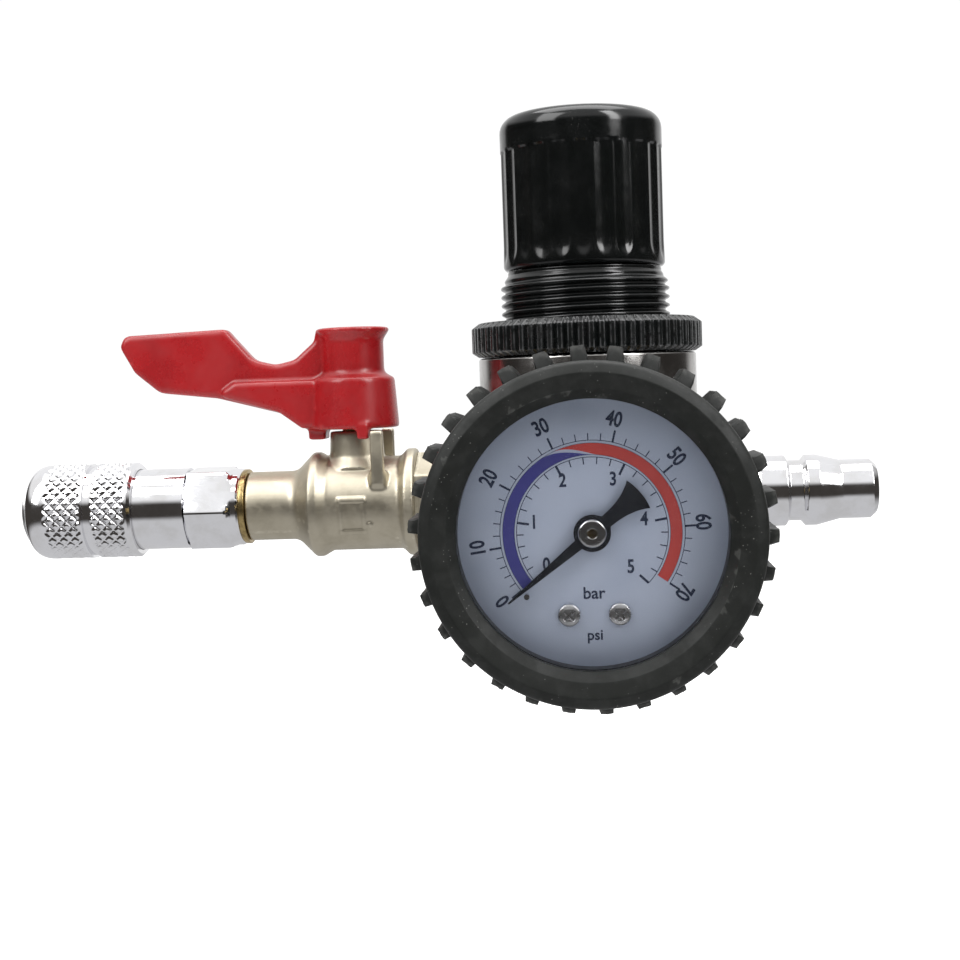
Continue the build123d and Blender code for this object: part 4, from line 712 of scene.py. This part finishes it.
def tick(angle, inner, outer, width):
    """One printed stroke of the scale."""
    centre = (inner + outer) / 2
    turn = math.radians(angle)
    return block((centre * math.cos(turn), centre * math.sin(turn), 0.015),
                 (outer - inner, width, 0.03), turn)


def band(start, end, inner, outer, rule=None):
    """A printed ring sector from start to end degrees; rule(share) gives its radii."""
    bm = bmesh.new()
    verts = [bm.verts.new((radius * math.cos(math.radians(start)),
                           radius * math.sin(math.radians(start)), 0)) for radius in (inner, outer)]
    edge = bm.edges.new(verts)
    steps = max(8, int(abs(end - start) / 2))
    bmesh.ops.spin(bm, geom=verts + [edge], cent=(0, 0, 0), axis=(0, 0, 1), dvec=(0, 0, 0),
                   angle=math.radians(end - start), steps=steps, use_duplicate=False)
    if rule:
        centre = (inner + outer) / 2
        for vert in bm.verts:
            radius = vert.co.length
            angle = math.degrees(math.atan2(vert.co.y, vert.co.x))
            share = ((start - angle + 90) % 360 - 90) / (start - end)
            low, high = rule(min(max(share, 0.0), 1.0))
            vert.co *= (high if radius > centre else low) / radius
    grown = bmesh.ops.extrude_face_region(bm, geom=bm.faces[:])["geom"]
    bmesh.ops.translate(bm, vec=(0, 0, 0.025),
                        verts=[g for g in grown if isinstance(g, bmesh.types.BMVert)])
    bmesh.ops.recalc_face_normals(bm, faces=bm.faces)
    return bm


def word(text, size, x, y, turn=0.0, weight=0.0, narrow=1.0):
    """Printed figures or letters, as a mesh in the dial's plane."""
    curve = bpy.data.curves.new("word", "FONT")
    curve.body = text
    curve.size = size
    curve.align_x, curve.align_y = "CENTER", "CENTER"
    curve.extrude = 0.012
    curve.offset = weight
    curve.resolution_u = 4
    obj = bpy.data.objects.new("word", curve)
    bpy.context.scene.collection.objects.link(obj)
    bpy.context.view_layer.update()
    mesh = bpy.data.meshes.new_from_object(obj)
    bpy.data.objects.remove(obj)
    bm = bmesh.new()
    bm.from_mesh(mesh)
    bpy.data.meshes.remove(mesh)
    bmesh.ops.remove_doubles(bm, verts=bm.verts, dist=1e-5)
    place = Matrix.Translation((x, y, 0.013)) @ Matrix.Rotation(turn, 4, "Z")
    place = place @ Matrix.Diagonal((narrow, 1, 1, 1))
    bmesh.ops.transform(bm, matrix=place, verts=bm.verts)
    return bm


class REGULATOR_OT_gauge_dial(bpy.types.Operator):
    """Printed dial: two scales, colour bands and generic units"""
    bl_idname = "regulator.gauge_dial"
    bl_label = "Gauge Dial"

    def execute(self, context):
        face = lathe(rounded([
            (58.4, 1.2), (58.4, 19.6, 0.1), (57.9, 19.6, 0.1), (57.9, 1.2),
        ], steps=2), GAUGE, 96)
        piece(face, "dial_face", "regulator", "dial_white", ["gauge_dial"])
        outer_arc, inner_arc = 13.1, 10.72
        band_in, band_out = 11.05, 12.7
        width, shift = band_out - band_in, 0.4
        ink = [band(PSI_ANGLES[0], PSI_ANGLES[-1], outer_arc - 0.05, outer_arc + 0.05),
               band(BAR_ANGLES[0], BAR_ANGLES[-1], inner_arc - 0.05, inner_arc + 0.05),
               band(PSI_ANGLES[0], PSI_ANGLES[-1], 12.68, 12.74),
               band(PSI_ANGLES[0], PSI_ANGLES[-1], 11.01, 11.07)]
        for value in range(0, 71, 2):
            angle = along_scale(PSI_ANGLES, value, 10)
            major = value % 10 == 0
            ink.append(tick(angle, outer_arc, outer_arc + (1.7 if major else 1.0),
                            0.3 if major else 0.14))
        for value in range(0, 26):
            angle = along_scale(BAR_ANGLES, value * 0.2, 1)
            major = value % 5 == 0
            ink.append(tick(angle, inner_arc - (1.7 if major else 1.0), inner_arc,
                            0.34 if major else 0.16))
        figure = sizes().dial_figures / MM
        for index, angle in enumerate(PSI_ANGLES):
            turn = math.radians(angle)
            ink.append(word(str(index * 10), figure, 16.0 * math.cos(turn) - shift,
                            16.0 * math.sin(turn) + shift, turn - math.pi / 2, 0.08, 0.76))
        for index, angle in enumerate(BAR_ANGLES):
            turn = math.radians(angle)
            ink.append(word(str(index), figure * 0.9, 7.9 * math.cos(turn) - shift,
                            7.9 * math.sin(turn) + shift, 0.0, 0.07, 0.8))
        ink.append(word("bar", 2.4, 0.0, -8.7, 0.0, 0.04))
        ink.append(word("psi", 2.1, 0.0, -14.7, 0.0, 0.04))
        for bm, name, slot in (
                (joined(ink), "dial_print", "dial_ink"),
                (band(PSI_ANGLES[0], along_scale(PSI_ANGLES, 37, 10), band_in, band_out,
                      lambda share: (band_in, band_out - width * smooth_step(0.72, 1.0, share))),
                 "dial_band_low", "dial_ink_blue"),
                (band(along_scale(PSI_ANGLES, 29.5, 10), PSI_ANGLES[-1], band_in, band_out,
                      lambda share: (band_out - width * smooth_step(0.0, 0.22, share), band_out)),
                 "dial_band_high", "dial_ink_red")):
            bmesh.ops.transform(bm, matrix=dial_place(DIAL_FACE), verts=bm.verts)
            piece(bm, name, "regulator", slot)
        return {"FINISHED"}


class REGULATOR_OT_pointer(bpy.types.Operator):
    """Pointer with its flared tail and cap, and the dial's screws"""
    bl_idname = "regulator.pointer"
    bl_label = "Pointer and Screws"

    def execute(self, context):
        ring = 2.65
        half = [(15.6, 0.12)]
        half += [(ring * math.cos(math.radians(a)), ring * math.sin(math.radians(a)))
                 for a in range(17, 160, 13)]
        half += [(-2.6, 0.95), (-4.0, 1.02), (-5.4, 1.22), (-6.8, 1.62), (-8.0, 2.2), (-8.52, 2.57)]
        half += [(-8.9 * math.cos(math.radians(a)), 8.9 * math.sin(math.radians(a)))
                 for a in (14.5, 12.0, 9.0, 6.0, 3.0)]
        outline = half + [(-8.9, 0.0)] + [(x, -y) for x, y in reversed(half)]
        place = dial_place(59.4) @ Matrix.Rotation(math.radians(POINTER_REST), 4, "Z")
        piece(slab(outline, place, 0.35, 0.07), "pointer_blade", "pointer_group",
              "pointer_black", ["pointer"])
        hub = lathe(rounded([
            (59.0, 0.62), (59.0, 2.05), (60.4, 2.05, 0.4), (60.4, 0.75, 0.1), (60.15, 0.62),
        ]), GAUGE, 64)
        piece(hub, "pointer_cap", "pointer_group", "steel", ["pointer_hub"])
        screws = []
        for x in (-3.6, 3.6):
            axis = (Vector((x, 0, GAUGE_Z - 11.7)), GAUGE[1], GAUGE[2])
            head = lathe(rounded([(55.3, 0), (55.3, 0.8), (58.4, 0.8), (58.4, 1.6),
                                  (59.0, 1.6, 0.25), (59.2, 0.9, 0.4), (59.2, 0)],
                                 closed=False), axis, 48, closed=False)

            def recess(vert, x=x):
                dx, dz = vert.co.x - x, vert.co.z - GAUGE_Z + 11.7
                u, v = (dx + dz) / math.sqrt(2), (dx - dz) / math.sqrt(2)
                return (-vert.co.y > 58.9 and max(abs(u), abs(v)) < 1.0
                        and min(abs(u), abs(v)) < 0.26)

            top = [f for f in head.faces if -f.calc_center_median().y > 58.95]
            bmesh.ops.subdivide_edges(head, edges=list({e for f in top for e in f.edges}), cuts=3,
                                      use_grid_fill=True)
            for vert in head.verts:
                if recess(vert):
                    vert.co.y += 0.35
            screws.append(head)
        piece(joined(screws), "dial_screw_heads", "regulator", "steel", ["dial_screws"])
        return {"FINISHED"}


# ---- Ball valve and handle ----------------------------------------------------------------------
class REGULATOR_OT_valve_body(bpy.types.Operator):
    """Cast body of the ball valve, with its neck, flanges, boss, stop posts and a plain mark"""
    bl_idname = "regulator.valve_body"
    bl_label = "Valve Body"

    def execute(self, context):
        shell = lathe(rounded([
            (-71.5, 3.0), (-71.5, 4.8), (-62.1, 4.8), (-62.1, 6.25, 0.3), (-53.2, 6.25, 2.6),
            (-50.0, 9.5, 0.4), (-48.8, 9.5, 0.5), (-47.0, 8.45, 0.8), (-34.1, 8.45, 0.8),
            (-32.9, 9.7, 0.4), (-31.2, 9.7, 0.3), (-31.2, 6.95), (-48.4, 6.95), (-48.4, 3.0),
        ]), PIPE, 96)
        boss = lathe(rounded([(6.6, 2.7), (6.6, 6.2), (8.6, 4.95, 1.0), (13.2, 4.7, 0.3),
                              (13.2, 2.7)]), STEM, 64)
        parts = [shell, boss]
        for y in (-7.7, 7.7):
            parts.append(block((VALVE_X + 4.7, y, PIPE_Z + 8.45), (2.35, 1.6, 9.7), 0.0, 0.35))
            parts.append(block((VALVE_X + 4.7, y * 0.9, PIPE_Z + 4.4), (3.4, 2.6, 3.6), 0.0, 0.8))
        bm = melted(joined(parts), 0.24, 4)
        for vert in bm.verts:
            x, y, z = vert.co.x - VALVE_X, vert.co.y, vert.co.z - PIPE_Z
            radial = math.hypot(y, z)
            if y < -4 and 8.2 < radial < 8.9 and abs(x) < 5:
                arc = math.degrees(math.atan2(z, -y)) * 8.45 * math.pi / 180
                u, v = x + 0.15, arc + 1.8
                bars = (1 - smooth_step(0.35, 0.6, abs(abs(v) - 3.0))) * \
                    (1 - smooth_step(2.3, 2.6, abs(u)))
                posts = (1 - smooth_step(0.2, 0.45, abs(abs(u) - 2.1))) * \
                    (1 - smooth_step(3.0, 3.3, abs(v)))
                dot = 1 - smooth_step(0.35, 0.75, math.hypot(u - 3.1, v + 1.7))
                rise = max(0.32 * bars, 0.2 * posts, 0.28 * dot)
                vert.co.y += rise * y / radial
                vert.co.z += rise * z / radial
        piece(bm, "valve_casting", "regulator", "valve_nickel", ["valve_body"], sharp=70)
        return {"FINISHED"}


def hex_fitting(outline, span, flats, vertex, chamfers, steps=180):
    """A turned fitting whose span along the line is a hexagon with chamfered ends."""
    low, high = span
    bm = lathe(dense(rounded(outline), 0.4), PIPE, steps)
    bevel_low, bevel_high = chamfers

    def flat(angle, along, radius):
        if not low - 1e-3 <= along <= high + 1e-3 or radius < flats / 2 - 0.4:
            return 0.0
        target = hexagon_radius(angle, flats, math.radians(vertex))
        if bevel_low:
            target = min(target, flats / 2 - 0.1 + (along - low) * bevel_low)
        if bevel_high:
            target = min(target, flats / 2 - 0.1 + (high - along) * bevel_high)
        return target - radius

    push(bm, PIPE, flat)
    return bm


class REGULATOR_OT_fittings(bpy.types.Operator):
    """Hexagon fittings, washer and coupling plug on the air line"""
    bl_idname = "regulator.fittings"
    bl_label = "Air Line Fittings"

    def execute(self, context):
        end = hex_fitting([
            (-36.0, 3.0), (-36.0, 6.9), (-31.15, 6.9), (-31.15, 7.8), (-20.3, 7.8), (-20.3, 6.5),
            (-10.3, 6.5), (-10.3, 3.0),
        ], (-31.15, -20.3), 15.6, 25.0, (0, 1.7))
        piece(end, "valve_end_hexagon", "regulator", "valve_nickel", ["valve_end"], sharp=25)
        adaptor = hex_fitting([
            (-77.5, 2.6), (-77.5, 5.4), (-73.1, 5.4), (-73.1, 7.0), (-64.8, 7.0), (-63.6, 7.0),
            (-63.2, 6.6), (-63.2, 4.85), (-71.9, 4.85), (-71.9, 2.6),
        ], (-73.1, -64.6), 14.0, 4.0, (3.0, 1.3))
        piece(adaptor, "coupler_adaptor_hexagon", "regulator", "chrome", ["coupler_adaptor"],
              sharp=25)
        washer = lathe(rounded([(-63.15, 4.9), (-63.15, 6.8, 0.2), (-62.15, 6.8, 0.2),
                                (-62.15, 4.9)]), PIPE, 96)
        piece(washer, "coupler_washer_brass", "regulator", "brass", ["coupler_washer"])
        tip = reach("inlet_plug", 0)
        plug = hex_fitting([
            (10.3, 3.2), (10.3, 6.5), (20.2, 6.5), (20.2, 7.0), (29.6, 7.0), (29.6, 6.3, 0.2),
            (34.4, 6.3, 0.3), (34.95, 5.4, 0.25), (37.2, 5.4, 0.4), (37.9, 6.3, 0.3),
            (39.9, 6.3, 0.4), (44.0, 5.25, 0.8), (tip - 1, 5.25, 0.3), (tip, 4.35, 0.2), (tip, 3.2),
        ], (20.2, 29.6), 14.0, 0.0, (1.3, 1.3))
        piece(plug, "inlet_plug_turned", "regulator", "chrome", ["inlet_plug"], sharp=25)
        return {"FINISHED"}


class REGULATOR_OT_handle(bpy.types.Operator):
    """Moulded red lever"""
    bl_idname = "regulator.handle"
    bl_label = "Lever Handle"

    def execute(self, context):
        hub = lathe(rounded([
            (13.65, 0), (13.65, 7.9, 0.5), (22.6, 7.3, 0.5), (23.6, 5.5, 0.8), (29.6, 5.5, 0.8),
            (31.2, 6.6, 0.2), (31.8, 6.6, 0.2), (31.8, 0),
        ], closed=False), STEM, 96, closed=False)
        side = Matrix.Translation((VALVE_X, 0, PIPE_Z)) @ Matrix.Rotation(math.pi / 2, 4, "X")

        def plate(points, thick, edge):
            place = side @ Matrix.Translation((0, 0, -thick / 2))
            return slab(rounded(points, steps=5), place, thick, edge, 3)

        blade = plate([
            (0, 14.2), (0, 31.4), (-6.6, 31.4), (-6.9, 29.6, 1.2), (-10.6, 26.4, 2.4),
            (-14.2, 25.6, 4.0), (-18.0, 26.6, 2.6), (-21.3, 30.4, 1.6), (-23.0, 32.4, 1.2),
            (-41.7, 31.8, 1.4), (-42.7, 29.8, 1.4), (-40.1, 25.0, 2.0), (-35.6, 21.2, 3.0),
            (-25.0, 19.9, 3.0), (-13.5, 16.8, 3.0), (-9.6, 14.2),
        ], 4.2, 0.9)
        root = plate([
            (0, 13.95), (0, 22.6), (-21.6, 22.6, 0.8), (-24.8, 20.4, 0.8), (-13.5, 17.0, 2.0),
            (-9.4, 13.95),
        ], 7.2, 0.7)
        right = 4.7 - 2.35 / 2 - 0.2
        tab = block((VALVE_X + right - 1.1, -6.9, PIPE_Z + 13.2), (2.2, 1.8, 2.8), 0.0, 0.2)
        lug = block((VALVE_X - 7.0, (right - 1.55) / 2, PIPE_Z + 13.2),
                    (3.1, right + 1.55, 2.8), 0.0, 0.2)
        pocket = lathe([(23.9, 0), (23.9, 1.6), (27.8, 1.6), (27.8, 3.4), (33.0, 3.4), (33.0, 0)],
                       STEM, 48, closed=False)
        drive = block((VALVE_X, 0, PIPE_Z + 18.4), (3.64, 3.64, 11.2))
        bm = melted(joined([hub, blade, root, tab, lug]), 0.3, 5, joined([pocket, drive]))
        piece(bm, "handle_moulding", "handle_group", "red_plastic", ["handle"], sharp=70)
        return {"FINISHED"}


# ---- Coupler ------------------------------------------------------------------------------------
class REGULATOR_OT_coupler(bpy.types.Operator):
    """Knurled sleeve of the quick coupler"""
    bl_idname = "regulator.coupler"
    bl_label = "Quick Coupler"

    def execute(self, context):
        around, depth = sizes().knurls, sizes().knurl_depth / MM
        outer = 8.65
        tip = reach("coupler_sleeve", 0, False)
        nose = [(tip + 3.3 - 3.3 * math.sin(math.radians(a)),
                 outer - 2.35 * (1 - math.cos(math.radians(a)))) for a in range(90, -1, -9)]
        outside = dense(nose + [(-91.3, outer)], 0.19, False)
        groove = [(-91.3, outer - 0.5), (-89.9, outer - 0.5)]
        outside += groove + dense([(-89.9, outer), (-83.0, outer), (-82.5, outer - 0.5)], 0.19,
                                  False)
        inside = [(-82.5, 7.43), (-93.5, 7.43), (-93.5, 5.58), (-98.2, 5.58), (-98.2, 6.3),
                  (-101.2, 6.3), (-101.2, 5.58), (tip, 5.58)]
        bm = lathe(outside + inside, PIPE, around * 16)
        cell = math.tau * outer / around

        def knurl(angle, along, radius):
            if radius < outer - 0.02:
                return 0.0
            front = (smooth_step(tip + 3.8, tip + 4.3, along)
                     * (1 - smooth_step(-91.9, -91.6, along)))
            rear = smooth_step(-89.6, -89.3, along) * (1 - smooth_step(-83.9, -83.5, along))
            u = angle / math.tau * around
            v = along / cell
            lines = max(1 - 2 * abs((u + v) % 1.0 - 0.5), 1 - 2 * abs((u - v) % 1.0 - 0.5))
            return -depth * (front + rear) * smooth_step(0.35, 1.0, lines)

        push(bm, PIPE, knurl)
        piece(bm, "coupler_sleeve_knurled", "sleeve", "chrome", ["coupler_sleeve"], sharp=42)
        return {"FINISHED"}


# ---- Finishes of the frame's own nodes ----------------------------------------------------------
NODE_SLOTS = {
    "thrust_washer": "steel", "diaphragm": "seal_rubber", "main_spring": "spring_steel",
    "poppet_spring": "spring_steel", "bottom_plug": "black_plastic", "bottom_ring": "seal_rubber",
    "rear_port_plug": "steel", "gauge_stem": "brass", "gauge_case": "case_black",
    "gauge_lens": "clear_lens", "lens_spacer": "spacer_black", "stop_pin": "steel",
    "movement_frame": "brass", "bourdon_tube": "brass", "tip_link": "steel",
    "ball_seats": "white_seal", "stem_seal": "white_seal", "coupler_body": "chrome",
    "locking_balls": "steel", "coupler_seal": "seal_rubber", "sleeve_ring": "spring_steel",
    "sleeve_spring": "spring_steel", "coupler_poppet_spring": "spring_steel",
    "adjusting_screw": "brass", "spring_seat": "steel", "diaphragm_plate": "steel",
    "poppet": "brass", "pointer_arbor": "brass", "sector_gear": "brass",
    "handle_screw": "steel", "valve_stem": "brass", "valve_ball": "chrome",
    "coupler_poppet": "brass",
}


class REGULATOR_OT_finish_frame(bpy.types.Operator):
    """Procedural finishes on the nodes of the fixed frame that stay"""
    bl_idname = "regulator.finish_frame"
    bl_label = "Finish Frame Nodes"

    def execute(self, context):
        for name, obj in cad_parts.items():
            slot = NODE_SLOTS.get(name)
            if slot is None:
                continue
            for place in obj.material_slots:
                place.material = finish(slot)
        return {"FINISHED"}


# ---- Stage --------------------------------------------------------------------------------------
CAMERA_PLACE = Vector((0.0001, -0.2712, -0.0112))
CAMERA_FORWARD = Vector((-0.07375, 0.99537, -0.06159))
CAMERA_ROLL = 2.01  # degrees
DARK_FRONT = (0.052, 0.047, 0.043, 1)
PALE_FLOOR = (0.62, 0.62, 0.63, 1)


class REGULATOR_OT_stage(bpy.types.Operator):
    """Pale floor, soft studio light and camera"""
    bl_idname = "regulator.stage"
    bl_label = "Stage"

    def execute(self, context):
        scene = context.scene
        stage = scene.regulator_stage
        scene.view_settings.view_transform = "Standard"
        floor_bm = bmesh.new()
        bmesh.ops.create_grid(floor_bm, x_segments=8, y_segments=8, size=4.0)
        bmesh.ops.translate(floor_bm, vec=(0, 0, PIPE_Z * MM - stage.floor_drop),
                            verts=floor_bm.verts)
        mesh = bpy.data.meshes.new("floor")
        floor_bm.to_mesh(mesh)
        floor_bm.free()
        floor = bpy.data.objects.new("floor", mesh)
        scene.collection.objects.link(floor)
        paint = bpy.data.materials.new("floor_paper")
        paint.use_nodes = True
        shader = paint.node_tree.nodes["Principled BSDF"]
        shader.inputs["Roughness"].default_value = 0.9
        tone = node(paint.node_tree, "ShaderNodeGroup", node_tree=tone_group())
        tone.inputs["Colour"].default_value = (0.94, 0.94, 0.94, 1)
        tone.inputs["Patch"].default_value = (0.92, 0.92, 0.92, 1)
        tone.inputs["Scale"].default_value = 4.0
        paint.node_tree.links.new(tone.outputs["Colour"], shader.inputs["Base Color"])
        shader.inputs["Emission Color"].default_value = (1, 1, 1, 1)
        shader.inputs["Emission Strength"].default_value = 0.35
        mesh.materials.append(paint)
        floor.visible_glossy = False

        world = bpy.data.worlds.new("dome")
        scene.world = world
        world.use_nodes = True
        tree = world.node_tree
        tree.nodes.clear()
        direction = node(tree, "ShaderNodeTexCoord").outputs["Generated"]
        parts = node(tree, "ShaderNodeSeparateXYZ", {0: direction})
        high = ramp(tree, math_node(tree, "ABSOLUTE", parts.outputs["Z"]), 0.26, 0.52)
        back = ramp(tree, parts.outputs["Y"], 0.60, 0.74)
        white = math_node(tree, "MAXIMUM", high, back)
        below = ramp(tree, parts.outputs["Z"], -0.25, -0.05, 1.0, 0.0)
        pale = mix_color(tree, below, (1.0, 1.0, 1.0, 1), PALE_FLOOR)
        colour = mix_color(tree, white, DARK_FRONT, pale)
        seen = node(tree, "ShaderNodeLightPath").outputs["Is Camera Ray"]
        colour = mix_color(tree, seen, colour, (1.02, 1.02, 1.02, 1))
        shine = node(tree, "ShaderNodeBackground", {"Color": colour, "Strength": stage.dome})
        out = node(tree, "ShaderNodeOutputWorld")
        tree.links.new(shine.outputs[0], out.inputs["Surface"])

        for name, place, size, power in (
                ("softbox_left", (-0.42, -0.36, 0.42), (0.34, 0.5), stage.softbox),
                ("softbox_right", (0.40, -0.34, 0.36), (0.16, 0.5), stage.softbox),
                ("softbox_top", (0.0, 0.05, 0.62), (0.7, 0.4), stage.softbox * 1.3)):
            light = bpy.data.lights.new(name, "AREA")
            light.shape = "RECTANGLE"
            light.size, light.size_y = size
            light.energy = power
            lamp = bpy.data.objects.new(name, light)
            aim = Vector((0, -0.02, -0.02)) - Vector(place)
            facing = aim.to_track_quat("-Z", "Y").to_matrix().to_4x4()
            lamp.matrix_world = Matrix.Translation(place) @ facing
            scene.collection.objects.link(lamp)

        camera = bpy.data.cameras.new("camera")
        camera.lens = stage.lens
        camera.sensor_width = 36.0
        camera.clip_start = 0.01
        eye = bpy.data.objects.new("camera", camera)
        scene.collection.objects.link(eye)
        forward = CAMERA_FORWARD.normalized()
        right = forward.cross(Vector((0, 0, 1))).normalized()
        up = right.cross(forward)
        roll = math.radians(CAMERA_ROLL)
        right, up = (right * math.cos(roll) - up * math.sin(roll),
                     up * math.cos(roll) + right * math.sin(roll))
        turn = Matrix((right, up, -forward)).transposed().to_4x4()
        eye.matrix_world = Matrix.Translation(CAMERA_PLACE) @ turn
        scene.camera = eye
        return {"FINISHED"}


class REGULATOR_PT_panel(bpy.types.Panel):
    """Lists the pieces, sizes and colours"""
    bl_label = "Air Pressure Regulator"
    bl_idname = "REGULATOR_PT_panel"
    bl_space_type = "VIEW_3D"
    bl_region_type = "UI"
    bl_category = "Regulator"

    def draw(self, context):
        layout = self.layout
        for settings in (context.scene.regulator_sizes, context.scene.regulator_finishes,
                         context.scene.regulator_stage):
            box = layout.box()
            for key in settings.__annotations__:
                box.prop(settings, key)
        for operator in OPERATORS:
            layout.operator(operator.bl_idname)


OPERATORS = (
    REGULATOR_OT_stage, REGULATOR_OT_knob, REGULATOR_OT_bonnet, REGULATOR_OT_panel_nut,
    REGULATOR_OT_body, REGULATOR_OT_gauge_boot, REGULATOR_OT_gauge_dial, REGULATOR_OT_pointer,
    REGULATOR_OT_valve_body, REGULATOR_OT_fittings, REGULATOR_OT_handle, REGULATOR_OT_coupler,
    REGULATOR_OT_finish_frame,
)
CLASSES = (RegulatorSizes, RegulatorFinishes, StageSettings, *OPERATORS, REGULATOR_PT_panel)


def register():
    for cls in CLASSES:
        bpy.utils.register_class(cls)
    bpy.types.Scene.regulator_sizes = PointerProperty(type=RegulatorSizes)
    bpy.types.Scene.regulator_finishes = PointerProperty(type=RegulatorFinishes)
    bpy.types.Scene.regulator_stage = PointerProperty(type=StageSettings)


def unregister():
    for name in ("regulator_sizes", "regulator_finishes", "regulator_stage"):
        delattr(bpy.types.Scene, name)
    for cls in reversed(CLASSES):
        bpy.utils.unregister_class(cls)


def main():
    """Builds every piece in order."""
    register()
    for operator in OPERATORS:
        area, name = operator.bl_idname.split(".")
        getattr(getattr(bpy.ops, area), name)()


if __name__ == "__main__":
    main()
